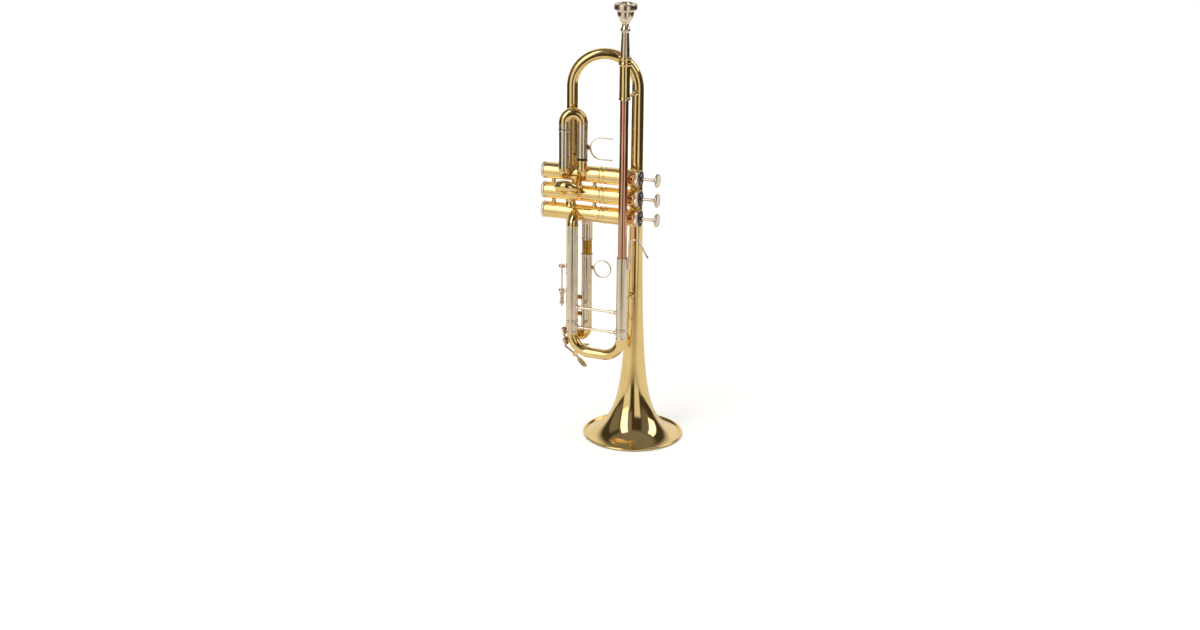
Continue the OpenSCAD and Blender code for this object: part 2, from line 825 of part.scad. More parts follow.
module second_slide_sockets() {
    color(gold) difference() {
        on_second() for (x = second_x) translate([x, 0, 0]) {
            tube(casing_r - 2, second_out, second_r, second_bore);
            tube(second_out - 1.3, second_out, second_r + 0.5, second_r);
        }
        casing_space(1);
        translate([port_x[1], valve_y, valve_z[1]]) cylinder(h = valve_pitch, r = outer_r - 0.3);
    }
}

module second_slide() {
    span = second_x[0] - second_x[1];
    color(gold) on_second() {
        for (x = second_x) translate([x, 0, 0]) {
            tube(casing_r + 0.2, second_crook, second_inner, second_inner - 0.4);
            tube(second_out + gap, second_crook, second_r, second_inner);
        }
        translate([second_x[1] + span / 2, 0, second_crook])
            bend(span / 2, second_r, second_inner - 0.4, 0, 180);
    }
}

// ---- third slide ----

third_bottom_z = valve_z[2];
third_exposed = gap + third_out;
third_top_z = third_ring_z - third_exposed;
third_low_top_z = third_post_z - third_exposed;
third_fixed_in = 160;

module third_slide_sockets() {
    color(nickel) difference() {
        union() {
            translate([third_x[0], valve_y, 0]) {
                tube(third_ring_z, third_bottom_z, outer_r - 0.05, bore_r);
                tube(third_ring_z, third_ring_z + 1.6, outer_r + 0.5, outer_r - 0.05);
                tube(third_fixed_in, third_ring_z, inner_r - 0.05, bore_r - 0.2);
            }
            translate([third_x[1], valve_y, 0]) {
                tube(third_post_z, third_bottom_z, outer_r - 0.05, outer_bore_r);
                tube(third_post_z, third_post_z + 1.6, outer_r + 0.5, outer_r - 0.05);
            }
        }
        casing_space(2);
    }
}

module third_slide_tubes() {
    color(nickel) {
        translate([third_x[0], valve_y, 0]) {
            tube(third_crook_z, third_top_z, outer_r - 0.05, inner_r);
            tube(third_top_z - 1.6, third_top_z, outer_r + 0.5, outer_r - 0.05);
        }
        translate([third_x[1], valve_y, 0]) {
            tube(third_crook_z, third_post_z + 20, inner_r, bore_r);
            tube(third_crook_z, third_low_top_z, outer_r - 0.05, inner_r);
        }
    }
}

module third_slide_crook() {
    color(gold) translate(third_key) bend(third_bend_r, outer_r - 0.05, bore_r, 180, 360);
}

guide_z = 181;
stop_boss_r = 4.3;
stop_boss_h = 4;
stop_rod_r = 1;
stop_post_z = 212;
stop_tip_z = 162;
third_brace_z = [177, 156];

// A boss round the stop rod, tied to the lower leg of the slide
module stop_boss(z, bore) {
    difference() {
        union() {
            translate([stop_x, valve_y, z]) cylinder(h = stop_boss_h, r = stop_boss_r);
            translate([stop_x, valve_y - 1.5, z]) cube([third_x[1] - stop_x, 3, stop_boss_h]);
        }
        translate([third_x[1], valve_y, z - eps]) cylinder(h = stop_boss_h + 2 * eps, r = outer_r - 0.05);
        translate([stop_x, valve_y, z - eps]) cylinder(h = stop_boss_h + 2 * eps, r = bore);
    }
}

module third_slide_braces() {
    color(brass) {
        difference() {
            for (z = third_brace_z) bar([third_x[1], valve_y, z], [third_x[0], valve_y, z], 2.4);
            for (x = third_x) translate([x, valve_y, third_crook_z]) cylinder(h = 60, r = outer_r - 0.05);
        }
        stop_boss(guide_z, stop_rod_r + 0.3);
    }
}

module third_stop_rod() {
    color(silver) {
        stop_boss(stop_post_z, stop_rod_r + 0.02);
        translate([stop_x, valve_y, stop_tip_z])
            cylinder(h = stop_post_z + stop_boss_h - stop_tip_z, r = stop_rod_r);
    }
}

nut_z0 = 166;
nut_h = 7.1;
nut_r = 3.1;

module third_stop_nuts() {
    color(nickel) for (i = [0, 1]) translate([stop_x, valve_y, nut_z0 + i * (nut_h + gap)]) difference() {
        union() {
            cylinder(h = nut_h, r = nut_r - 0.6);
            translate([0, 0, i * (nut_h - 2.4)]) cylinder(h = 2.4, r = nut_r);
        }
        translate([0, 0, -eps]) cylinder(h = nut_h + 2 * eps, r = stop_rod_r + 0.02);
    }
}

ring_c = [-34.6, 216];
ring_mid_r = 10.6;
ring_wire = 1.1;

module finger_ring() {
    color(silver) difference() {
        union() {
            translate([ring_c[0], valve_y, ring_c[1]]) bend(ring_mid_r, ring_wire, 0, 0, 360);
            bar([third_x[0], valve_y, ring_c[1]], [ring_c[0] - ring_mid_r, valve_y, ring_c[1]], 2.4);
        }
        translate([third_x[0], valve_y, ring_c[1] - 10]) cylinder(h = 20, r = outer_r - 0.05);
    }
}

bell();
bell_rim();
bell_bow();
bell_ferrule();
bell_braces();
mouthpiece();
mouthpiece_receiver();
leadpipe();
upper_slide_tube();
lower_slide_tube();
inlet_elbow();
tube_brace();
finger_hook();
valve_casing_1();
valve_casing_2();
valve_casing_3();
casing_spacers();
intervalve_tubes();
bottom_caps();
top_caps();
cap_washers();
valve_guides();
piston_1();
piston_2();
piston_3();
valve_stem_1();
valve_stem_2();
valve_stem_3();
finger_button_1();
finger_button_2();
finger_button_3();
valve_spring_1();
valve_spring_2();
valve_spring_3();
button_pearl_1();
button_pearl_2();
button_pearl_3();
tuning_slide_tubes();
tuning_crook();
tuning_slide_brace();
water_key_saddle();
water_key_lever();
water_key_cork();
water_key_spring();
first_slide_sockets();
first_slide_tubes();
first_slide_crook();
thumb_saddle();
second_slide_sockets();
second_slide();
third_slide_sockets();
third_slide_tubes();
third_slide_crook();
third_slide_braces();
finger_ring();
third_stop_rod();
third_stop_nuts();
third_key_saddle();
third_key_lever();
third_key_cork();
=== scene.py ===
import math

import bmesh
import bpy
from mathutils import Matrix, Vector


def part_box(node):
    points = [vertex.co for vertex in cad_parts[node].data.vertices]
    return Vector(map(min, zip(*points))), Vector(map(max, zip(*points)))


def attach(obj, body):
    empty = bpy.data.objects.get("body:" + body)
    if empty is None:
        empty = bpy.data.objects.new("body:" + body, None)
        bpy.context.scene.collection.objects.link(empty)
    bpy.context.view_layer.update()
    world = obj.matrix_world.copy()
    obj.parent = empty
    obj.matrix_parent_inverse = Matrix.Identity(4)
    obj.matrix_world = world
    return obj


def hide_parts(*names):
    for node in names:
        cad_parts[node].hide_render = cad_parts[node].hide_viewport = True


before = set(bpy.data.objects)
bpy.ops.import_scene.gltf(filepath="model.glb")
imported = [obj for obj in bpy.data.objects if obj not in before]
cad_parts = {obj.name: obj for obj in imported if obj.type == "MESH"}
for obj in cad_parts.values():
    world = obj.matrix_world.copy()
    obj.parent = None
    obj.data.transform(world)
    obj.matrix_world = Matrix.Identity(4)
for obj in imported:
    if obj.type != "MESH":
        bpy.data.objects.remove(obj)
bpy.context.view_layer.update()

# A B-flat trumpet standing on its bell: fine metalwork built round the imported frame. Sizes are in
# millimetres, in the frame's own axes: +Z up the bell, +X to the buttons and -Y to the player's
# right. build() turns each finished mesh into metres. Only the floor and camera are in metres.

MM = 0.001
TAU = 2 * math.pi
UP = Vector((0, 0, 1))
ACROSS = Vector((1, 0, 0))
ASIDE = Vector((0, 1, 0))
SIDES = 96
BEND_SIDES = 56
SMOOTH_ANGLE = math.radians(38)
NOSE_TURN = math.radians(86)
ON_AXIS = 1e-6
WELD = 1e-5


# ---- places ----

def span(node):
    """Lowest and highest corner of a CAD node, in millimetres."""
    lo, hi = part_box(node)
    return lo / MM, hi / MM


def middle(node):
    lo, hi = span(node)
    return (lo + hi) / 2


def heights(node):
    """The bottom and top of a CAD node."""
    lo, hi = span(node)
    return lo.z, hi.z


LEAD = middle("leadpipe").xy
LOW = middle("lower_slide_tube").xy
BOW_Z = heights("bell")[1]
RIM_R = span("bell_rim")[1].x
VALVES = [middle(f"valve_casing_{n}") for n in (1, 2, 3)]
VALVE_Y = VALVES[1].y
VALVE_Z = [v.z for v in VALVES]
CASING_X0, CASING_X1 = (corner.x for corner in span("valve_casing_2"))
CROOK_Z = heights("tuning_crook")[1]
FIRST_CROOK_Z = heights("first_slide_tubes")[1]
THIRD_CROOK_Z = heights("third_slide_crook")[1]
THIRD_TOP = heights("third_slide_tubes")[1]

# Axes of the tubes whose nodes are bent or hold two legs, so that their boxes don't give them
LEG = Vector((-75.5, -18))
FIRST_A = Vector((-78.5, -37))
FIRST_B = Vector((-58.5, -30))
SECOND_X = (-64, -83)
SECOND_LIFT = math.radians(28)
THIRD_X = (-54.5, -74.5)

# Radii of the main slide's tubes: outside, inner tube, bore
OUTER_R = 6.6
INNER_R = 6.05
BORE_R = 5.83


# ---- meshes ----

def arc(centre, u, v, radius, a0, a1, step=4):
    """Points on an arc in the plane of u and v, from angle a0 to a1 in degrees."""
    steps = max(2, round(abs(a1 - a0) / step))
    angles = [math.radians(a0 + (a1 - a0) * i / steps) for i in range(steps + 1)]
    return [centre + radius * (math.cos(a) * u + math.sin(a) * v) for a in angles]


def rounded(outline, radius=0.3, steps=3, closed=True):
    """An outline of (radius, height) points with each corner off the axis rounded."""
    out = []
    count = len(outline)
    for i, point in enumerate(outline):
        p = Vector(point)
        if p.x < ON_AXIS or (not closed and i in (0, count - 1)):
            out.append(p)
            continue
        a = Vector(outline[i - 1]) - p
        b = Vector(outline[(i + 1) % count]) - p
        reach = min(radius, 0.4 * a.length, 0.4 * b.length)
        start = p + a.normalized() * reach
        end = p + b.normalized() * reach
        for k in range(steps + 1):
            t = k / steps
            out.append((1 - t) ** 2 * start + 2 * t * (1 - t) * p + t ** 2 * end)
    return out


def held(outline, margin=0.8, stride=6.0):
    """Adds points a little way in from both ends of each long side, so that edge wear stays at the
    edges, and at even strides between them, so that long mirrors stay smooth."""
    out = []
    for i, point in enumerate(outline):
        p, q = Vector(point), Vector(outline[(i + 1) % len(outline)])
        out.append(p)
        length = (q - p).length
        if length > 4 * margin and max(p.x, q.x) > ON_AXIS:
            inner = length - 2 * margin
            count = max(1, round(inner / stride))
            out += [p.lerp(q, (margin + inner * k / count) / length) for k in range(count + 1)]
    return out


def tube_outline(z0, z1, outer, inner):
    return [(outer, z0), (outer, z1), (inner, z1), (inner, z0)]


def place(origin, axis=UP):
    """A matrix that puts local +Z along axis, at origin."""
    return Matrix.Translation(Vector(origin)) @ UP.rotation_difference(Vector(axis)).to_matrix().to_4x4()


def upright(xy):
    return Matrix.Translation(Vector((xy[0], xy[1], 0)))


def along_valve(n):
    """Local +Z is the frame's +X, on the axis of valve n (0 is the first)."""
    return Matrix.Translation(Vector((0, VALVE_Y, VALVE_Z[n]))) @ Matrix.Rotation(math.pi / 2, 4, "Y")


def revolve(bm, outline, matrix, sides=SIDES, ripple=None):
    """Turns a closed outline of (radius, height) points about local +Z. For knurling,
    ripple(angle, radius, height) is added to the radius."""
    rings = []
    for r, h in held(outline):
        if r < ON_AXIS:
            rings.append([bm.verts.new(matrix @ Vector((0, 0, h)))])
            continue
        ring = []
        for k in range(sides):
            a = TAU * k / sides
            rr = r + (ripple(a, r, h) if ripple else 0)
            ring.append(bm.verts.new(matrix @ Vector((rr * math.cos(a), rr * math.sin(a), h))))
        rings.append(ring)
    for lower, upper in zip(rings, rings[1:] + rings[:1]):
        if len(lower) == 1 and len(upper) == 1:
            continue
        for k in range(sides):
            corners = [lower[k % len(lower)], lower[(k + 1) % len(lower)],
                       upper[(k + 1) % len(upper)], upper[k % len(upper)]]
            bm.faces.new(list(dict.fromkeys(corners)))


def lathe(bm, outline, fillet, matrix, **options):
    """Revolves an outline after rounding its corners."""
    revolve(bm, rounded(outline, fillet), matrix, **options)


def ellipse(a, b, sides=28, power=1.0):
    """A section with half-widths a and b; a power under 1 squares its corners."""
    out = []
    for k in range(sides):
        c, s = math.cos(TAU * k / sides), math.sin(TAU * k / sides)
        out.append((math.copysign(abs(c) ** power, c) * a, math.copysign(abs(s) ** power, s) * b))
    return out


def join(bm, lower, upper):
    """Joins two rings of the same number of points with a band of faces."""
    for k in range(len(lower)):
        m = (k + 1) % len(lower)
        bm.faces.new((lower[k], lower[m], upper[m], upper[k]))


def sweep(bm, path, section, scale=None, first_side=None, round_ends=False):
    """Carries a section along a path, turning it as little as it can. Its first half-width lies
    along first_side at the start. Rounded ends shrink the section over its last stretch."""
    points = [Vector(p) for p in path]
    tangents = [(points[min(i + 1, len(points) - 1)] - points[max(i - 1, 0)]).normalized()
                for i in range(len(points))]
    side = Vector(first_side) if first_side else tangents[0].orthogonal()
    lengths = [0.0]
    for p, q in zip(points, points[1:]):
        lengths.append(lengths[-1] + (q - p).length)
    total = lengths[-1]
    stations = []
    for i, (p, t) in enumerate(zip(points, tangents)):
        if i:
            side = tangents[i - 1].rotation_difference(t) @ side
        side = (side - side.dot(t) * t).normalized()
        size = scale(lengths[i] / total) if scale else 1
        stations.append((p, t, side.copy(), size))
    if round_ends:
        stations = dome(stations, section, -1) + stations + dome(stations, section, 1)
    rings = []
    for p, t, x, size in stations:
        y = t.cross(x)
        rings.append([bm.verts.new(p + size * (a * x + b * y)) for a, b in section])
    for lower, upper in zip(rings, rings[1:]):
        join(bm, lower, upper)
    bm.faces.new(rings[0][::-1])
    bm.faces.new(rings[-1])


def dome(stations, section, end, steps=5):
    """Extra stations that close a swept bar with a rounded nose, short of a point."""
    p, t, x, size = stations[0 if end < 0 else -1]
    reach = min(max(abs(a) for a, _ in section), max(abs(b) for _, b in section)) * size
    out = []
    for k in range(1, steps + 1):
        a = NOSE_TURN * k / steps
        out.append((p + end * reach * math.sin(a) * t, t, x, size * math.cos(a)))
    return out[::-1] if end < 0 else out


def build(name, draw, material, *nodes, body="horn", slot=None):
    """Makes one piece from the shapes that draw(bm) adds, and hands it to the frame: the body that
    it rides and the nodes it replaces. Its slot, by default the one that its material stands for, is worked
    out but not used."""
    slot = slot or SLOTS[material]
    bm = bmesh.new()
    draw(bm)
    bmesh.ops.remove_doubles(bm, verts=bm.verts, dist=WELD)
    bmesh.ops.recalc_face_normals(bm, faces=bm.faces)
    mesh = bpy.data.meshes.new(name)
    bm.to_mesh(mesh)
    bm.free()
    mesh.transform(Matrix.Scale(MM, 4))
    mesh.shade_smooth()
    mesh.set_sharp_from_angle(angle=SMOOTH_ANGLE)
    mesh.materials.append(material)
    piece = bpy.data.objects.new(name, mesh)
    bpy.context.scene.collection.objects.link(piece)
    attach(piece, body)
    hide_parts(*nodes)
    return piece


# ---- materials ----

NODE_COLUMNS = 6
NODE_STEP = (220, -320)
COAT_ROUGHNESS = 0.04
PATCHES = {"scale": 34, "detail": 5}
SCUFFS = {"scale": 95, "detail": 6}
NOISE_RANGE = (0.3, 0.7)
TONE_STOPS = (0.28, 0.62)
EDGE_POINTINESS = (0.53, 0.60)
EDGE_WEAR = 0.7
WORN_KEPT, WORN_LIFT = 0.55, 0.35
WORN_DULLING = 0.2
GRAIN_DETAIL = 3
BUMP_DEPTH = 0.0004


def node(tree, kind, **inputs):
    """Adds a shader node. They are set out in rows, so that the tree can be read in the editor."""
    row, column = divmod(len(tree.nodes), NODE_COLUMNS)
    n = tree.nodes.new(kind)
    n.location = (NODE_STEP[0] * column, NODE_STEP[1] * row)
    for key, value in inputs.items():
        n.inputs[key].default_value = value
    return n


def maths(tree, operation, *values):
    """A math node, fed by numbers and by other nodes' outputs."""
    n = node(tree, "ShaderNodeMath")
    n.operation = operation
    for socket, value in zip(n.inputs, values):
        if isinstance(value, (int, float)):
            socket.default_value = value
        else:
            tree.links.new(value, socket)
    return n.outputs[0]


def spread(tree, value, source, target, interpolation="LINEAR"):
    """Maps a value from the source range to the target range."""
    n = node(tree, "ShaderNodeMapRange")
    n.interpolation_type = interpolation
    for key, number in zip(("From Min", "From Max", "To Min", "To Max"), (*source, *target)):
        n.inputs[key].default_value = number
    tree.links.new(value, n.inputs["Value"])
    return n.outputs["Result"]


def smooth(tree, value, start, end):
    """0 before start and 1 after end, with a smooth edge; swap them for the other way round."""
    target = (0, 1) if start < end else (1, 0)
    return spread(tree, value, sorted((start, end)), target, "SMOOTHSTEP")


def mix(tree, under, over, amount):
    """Lays one colour over another. Each is a tint or a node's output."""
    n = node(tree, "ShaderNodeMixRGB")
    for key, colour in (("Color1", under), ("Color2", over)):
        if isinstance(colour, (tuple, list)):
            n.inputs[key].default_value = (*colour, 1)
        else:
            tree.links.new(colour, n.inputs[key])
    tree.links.new(amount, n.inputs["Fac"])
    return n.outputs["Color"]


def noise(tree, coords, scale, detail):
    texture = node(tree, "ShaderNodeTexNoise", Scale=scale, Detail=detail)
    tree.links.new(coords, texture.inputs["Vector"])
    return texture.outputs["Fac"]


def surface(name, light, dark, roughness, metallic=1.0, coat=0.0, grain=(420, 0.02)):
    """A worn surface: two tones mottled by noise, hazed patches, a fine bump, and edges that are
    rubbed paler and duller. grain is the bump's scale and strength."""
    material = bpy.data.materials.new(name)
    material.use_nodes = True
    tree = material.node_tree
    shader = tree.nodes["Principled BSDF"]
    shader.inputs["Metallic"].default_value = metallic
    shader.inputs["Coat Weight"].default_value = coat
    shader.inputs["Coat Roughness"].default_value = COAT_ROUGHNESS
    coords = node(tree, "ShaderNodeTexCoord").outputs["Object"]
    patches = noise(tree, coords, **PATCHES)
    scuffs = noise(tree, coords, **SCUFFS)
    ramp = node(tree, "ShaderNodeValToRGB")
    for stop, position, tone in zip(ramp.color_ramp.elements, TONE_STOPS, (dark, light)):
        stop.position = position
        stop.color = (*tone, 1)
    tree.links.new(patches, ramp.inputs["Fac"])

    edge = node(tree, "ShaderNodeNewGeometry").outputs["Pointiness"]
    rubbed = maths(tree, "MULTIPLY", spread(tree, edge, EDGE_POINTINESS, (0, EDGE_WEAR)), scuffs)
    worn = [WORN_KEPT * c + WORN_LIFT for c in light]
    tree.links.new(mix(tree, ramp.outputs["Color"], worn, rubbed), shader.inputs["Base Color"])

    haze = spread(tree, scuffs, NOISE_RANGE, roughness)
    duller = maths(tree, "MULTIPLY_ADD", rubbed, WORN_DULLING, haze)
    tree.links.new(duller, shader.inputs["Roughness"])
    bump = node(tree, "ShaderNodeBump", Strength=grain[1], Distance=BUMP_DEPTH)
    tree.links.new(noise(tree, coords, grain[0], GRAIN_DETAIL), bump.inputs["Height"])
    tree.links.new(bump.outputs["Normal"], shader.inputs["Normal"])
    return material


BRASS = surface("lacquered_brass", (0.92, 0.70, 0.33), (0.84, 0.61, 0.25), (0.05, 0.12), coat=0.2)
DEEP_BRASS = surface("bare_brass", (0.62, 0.36, 0.08), (0.46, 0.25, 0.05), (0.12, 0.24))
ROSE = surface("rose_brass", (0.78, 0.44, 0.30), (0.66, 0.34, 0.22), (0.06, 0.13), coat=0.25)
NICKEL = surface("nickel_silver", (0.86, 0.76, 0.62), (0.76, 0.66, 0.52), (0.12, 0.24))
SILVER = surface("silver_plate", (0.88, 0.76, 0.63), (0.75, 0.62, 0.49), (0.15, 0.28))
ALLOY = surface("piston_alloy", (0.62, 0.60, 0.56), (0.50, 0.48, 0.44), (0.16, 0.28))
STEEL = surface("spring_steel", (0.50, 0.50, 0.50), (0.34, 0.33, 0.32), (0.2, 0.34))
RUBBER = surface("black_washer", (0.022, 0.021, 0.02), (0.010, 0.010, 0.010), (0.42, 0.6),
                 metallic=0.0, grain=(700, 0.15))
PEARL = surface("pearl", (0.84, 0.74, 0.62), (0.70, 0.58, 0.50), (0.12, 0.25), metallic=0.0, coat=0.6)
# Painted shadow: a near-black brass for the dark rings that stand for the shade in the slides' sleeve gaps
GAP_SHADOW = surface("painted_gap_shadow", (0.115, 0.078, 0.042), (0.060, 0.042, 0.026), (0.3, 0.45))
CORK = surface("cork", (0.42, 0.20, 0.10), (0.20, 0.085, 0.04), (0.65, 0.85), metallic=0.0, grain=(600, 0.4))

# The slot of the record that each material stands for
SLOTS = {
    BRASS: "lacquered_brass",
    DEEP_BRASS: "lacquered_brass",
    GAP_SHADOW: "lacquered_brass",
    ROSE: "rose_brass",
    NICKEL: "nickel_silver",
    SILVER: "silver_plate",
    STEEL: "spring_steel",
    RUBBER: "black_washer",
    PEARL: "pearl",
    CORK: "cork",
}


# ---- bell ----

# The flare's radius is FLARE_R + FLARE_K / (height + FLARE_Z)
FLARE_R, FLARE_K, FLARE_Z = 4.5, 1100, 19.2
BELL_WALL = 0.5
BELL_Z0 = 0.9
BELL_STEPS = 110
BELL_CROWDING = 2.2
BELL_SIDES = 160
RIM_WIRE_R = 1.38
RIM_WIRE_STEPS = 20
BOW_R = LEG.length / 2
BOW_LEG_R = 6.45
BOW_LEG_Z = (400, 380, 360, 344)
BOW_TAPER = 0.4
BOW_PROUD = 0.03
UPPER_BRACE_Z, LOWER_BRACE_Z = 432.7, 184
BRACE_ROD_R, BRACE_FOOT_R = 1.7, 3.6


def flare(z):
    return FLARE_R + FLARE_K / (z + FLARE_Z)


def flare_inside(z):
    slope = -FLARE_K / (z + FLARE_Z) ** 2
    n = math.sqrt(1 + slope * slope)
    return flare(z) - BELL_WALL / n, z + BELL_WALL * slope / n


def draw_bell(bm):
    rise = BOW_Z - BELL_Z0
    levels = [BELL_Z0 + rise * (i / BELL_STEPS) ** BELL_CROWDING for i in range(BELL_STEPS + 1)]
    outside = [(flare(z), z) for z in levels]
    inside = [flare_inside(z) for z in reversed(levels)]
    inside[0] = (flare(BOW_Z) - BELL_WALL, BOW_Z)
    revolve(bm, outside + inside, Matrix.Identity(4), sides=BELL_SIDES)


def draw_rim(bm):
    r = RIM_WIRE_R
    turns = [TAU * k / RIM_WIRE_STEPS for k in range(RIM_WIRE_STEPS)]
    ring = [(RIM_R - r + r * math.cos(a), r + r * math.sin(a)) for a in turns]
    revolve(bm, ring, Matrix.Identity(4), sides=BELL_SIDES)


def draw_bow(bm):
    out = Vector((LEG.x, LEG.y, 0)).normalized()
    centre = Vector((LEG.x / 2, LEG.y / 2, BOW_Z))
    path = [Vector((0, 0, BOW_Z - 1))] + arc(centre, -out, UP, BOW_R, 0, 180, 3)
    path += [Vector((LEG.x, LEG.y, z)) for z in BOW_LEG_Z]
    tail_r = flare(BOW_Z)
    shrink = (tail_r - BOW_LEG_R) / tail_r
    sweep(bm, path, ellipse(tail_r + BOW_PROUD, tail_r + BOW_PROUD, BEND_SIDES),
          scale=lambda t: 1 - shrink * min(1, t / BOW_TAPER), first_side=out)


def draw_ferrule(bm):
    z0, z1 = heights("bell_ferrule")
    outline = [(7.9, z0 - 1), (7.9, z0 + 3.4), (7.1, z0 + 4.6), (7.0, z1 - 2.2), (7.45, z1 - 2),
               (7.45, z1), (6.2, z1), (6.2, z0 - 1)]
    lathe(bm, outline, 0.4, upright(LEG))


def flanged_rod(bm, a, b, r0, r1, rod, foot, sleeve=0.0):
    """A rod between two tubes whose radii are r0 and r1, with a round foot soldered to each."""
    a, b = Vector(a), Vector(b)
    length = (b - a).length
    sleeve_r = rod + 0.7
    outline = [(0, r0 - 1.2), (foot, r0 - 1.2), (foot, r0 + 0.5), (rod + 1.1, r0 + 1.5)]
    if sleeve:
        outline += [(sleeve_r, r0 + 2.2), (sleeve_r, r0 + sleeve), (rod, r0 + sleeve + 0.3),
                    (rod, length - r1 - sleeve - 0.3), (sleeve_r, length - r1 - sleeve),
                    (sleeve_r, length - r1 - 2.2)]
    else:
        outline += [(rod, r0 + 2.8), (rod, length - r1 - 2.8)]
    outline += [(rod + 1.1, length - r1 - 1.5), (foot, length - r1 - 0.5), (foot, length - r1 + 1.2),
                (0, length - r1 + 1.2)]
    lathe(bm, outline, 0.35, place(a, b - a), sides=40)


def draw_bell_braces(bm):
    for z in (UPPER_BRACE_Z, LOWER_BRACE_Z):
        flanged_rod(bm, (LEAD.x, LEAD.y, z), (0, 0, z), OUTER_R, flare(z), BRACE_ROD_R, BRACE_FOOT_R)


build("bell_body", draw_bell, BRASS, "bell")
build("bell_rim_wire", draw_rim, BRASS, "bell_rim")
build("bell_bow_tube", draw_bow, BRASS, "bell_bow")
build("bell_bow_ferrule", draw_ferrule, BRASS, "bell_ferrule")
build("bell_brace_pair", draw_bell_braces, BRASS, "bell_braces")


# ---- mouthpiece, receiver and leadpipe ----

BEAD_R = 0.6
BEAD_H = 2.2
SOCKET_BEAD_H = 1.6
SLIP = 0.04
BRACE_SLEEVE = 9
LEADPIPE_TAPER_Z = (300, 400)


def draw_mouthpiece(bm):
    z0, z1 = heights("mouthpiece")
    h = z1 - z0
    outside = [(4.35, 0), (4.85, 0), (5.4, 26), (5.2, 35), (4.75, 46), (4.45, 51), (4.5, 53.5), (5.5, 54.6),
               (6.0, 56.2), (5.9, 57.6), (5.2, 58.8), (4.2, 60.8), (3.95, 62.8), (4.5, 64.6), (6.2, 66.6),
               (7.9, 69.2), (9.0, 72.4), (9.6, 75.6), (9.85, h - 8.9), (10.9, h - 8.5), (12.3, h - 8.0),
               (13.1, h - 6.7), (13.4, h - 4.8), (13.5, h - 2.4), (13.45, h - 1.3), (13.0, h - 0.4),
               (12.1, h), (10.6, h), (9.4, h - 0.4), (8.5, h - 1.3)]
    cup = [(8.15, h - 3), (7.7, h - 6), (6.6, h - 9), (4.8, h - 11.4), (2.6, h - 13.4), (1.83, h - 15),
           (1.83, h - 20), (2.5, 50), (3.5, 28)]
    lathe(bm, outside + cup, 0.7, Matrix.Translation((LEAD.x, LEAD.y, z0)))


def draw_receiver(bm):
    z0, z1 = heights("mouthpiece_receiver")
    collar = z1 - 9
    outline = [(6.95, z0), (6.95, z0 + 2.4), (6.15, z0 + 3.1), (6.1, collar - 1.6), (6.5, collar - 0.8),
               (7.5, collar), (7.55, collar + 2.2), (7.1, collar + 2.8), (7.1, collar + 6.2),
               (7.55, collar + 6.8), (7.5, z1), (5.5, z1), (4.95, z0 + 25), (5.02, z0)]
    lathe(bm, outline, 0.4, upright(LEAD))


def draw_leadpipe(bm):
    z0, z1 = heights("leadpipe")
    low, high = LEADPIPE_TAPER_Z
    revolve(bm, [(5.5, z0), (5.5, low), (5.0, high), (5.0, z1), (4.5, z1), (4.5, z0)], upright(LEAD))


def ringed_tube(bm, xy, z0, z1, outer, inner, ring_z=None, ring_h=BEAD_H):
    """A straight tube, with a beaded ring at ring_z if one is given."""
    outline = tube_outline(z0, z1, outer, inner)
    if ring_z is not None:
        low, high = max(z0, ring_z), min(z1, ring_z + ring_h)
        before = [outline[0], (outer, low - 0.2)] if low > z0 else []
        after = [(outer, high + 0.2), outline[1]] if high < z1 else []
        bead = [(outer + BEAD_R, low), (outer + BEAD_R, high)]
        outline = before + bead + after + outline[2:]
    lathe(bm, outline, 0.3, upright(xy))


def draw_slide_tube(cad, xy):
    def draw(bm):
        z0, z1 = heights(cad)
        ringed_tube(bm, xy, z0, z1, OUTER_R, INNER_R + SLIP, ring_z=z0)
    return draw


def draw_inlet(bm):
    z0 = heights("lower_slide_tube")[1]
    bend = VALVE_Z[2] - z0
    centre = Vector((LOW.x, LOW.y + bend, z0))
    sweep(bm, arc(centre, -ASIDE, UP, bend, 0, 90, 4), ellipse(6.5, 6.5, 48), first_side=ACROSS)
    collar = [(0, z0 - 0.8), (7.1, z0 - 0.8), (7.1, z0 + 0.9), (6.4, z0 + 1.4), (0, z0 + 1.4)]
    lathe(bm, collar, 0.4, upright(LOW))


def draw_tube_brace(bm):
    z = middle("tube_brace").z
    flanged_rod(bm, (LOW.x, LOW.y, z), (LEAD.x, LEAD.y, z), OUTER_R, OUTER_R, 1.5, 3.4, BRACE_SLEEVE)


def draw_hook(bm):
    """A rod up the side of the leadpipe that bends over and down, away from it."""
    x0, y, z0, top = 5.6, LEAD.y, 227, 257
    bend, turn = 7, 30
    path = [Vector((x0, y, z)) for z in (z0, z0 + 8, z0 + 16, z0 + 24)]
    path += arc(Vector((x0 + bend, y, top)), ACROSS, UP, bend, 180, turn, 5)
    down = Vector((math.sin(math.radians(turn)), 0, -math.cos(math.radians(turn))))
    path += [path[-1] + down * d for d in (5, 10, 15, 20)]
    sweep(bm, path, ellipse(1.9, 1.15, 24), first_side=ASIDE, round_ends=True)
    foot = [Vector((x0 - 1.7, y, z)) for z in (z0 - 1, z0 + 3, z0 + 8, z0 + 13)]
    sweep(bm, foot, ellipse(2.4, 1.5, 24, 0.7), scale=lambda t: 1 - 0.45 * t, first_side=ASIDE)


build("mouthpiece_cup_and_shank", draw_mouthpiece, SILVER, "mouthpiece", body="mouthpiece")
build("receiver_sleeve", draw_receiver, BRASS, "mouthpiece_receiver")
build("leadpipe_tube", draw_leadpipe, ROSE, "leadpipe")
for side, xy in (("upper", LEAD), ("lower", LOW)):
    cad = f"{side}_slide_tube"
    build(f"{side}_outer_tube", draw_slide_tube(cad, xy), NICKEL, cad)
build("inlet_elbow_bend", draw_inlet, BRASS, "inlet_elbow")
build("tube_brace_rod", draw_tube_brace, NICKEL, "tube_brace")
build("finger_hook_strip", draw_hook, SILVER, "finger_hook")


# ---- valves ----

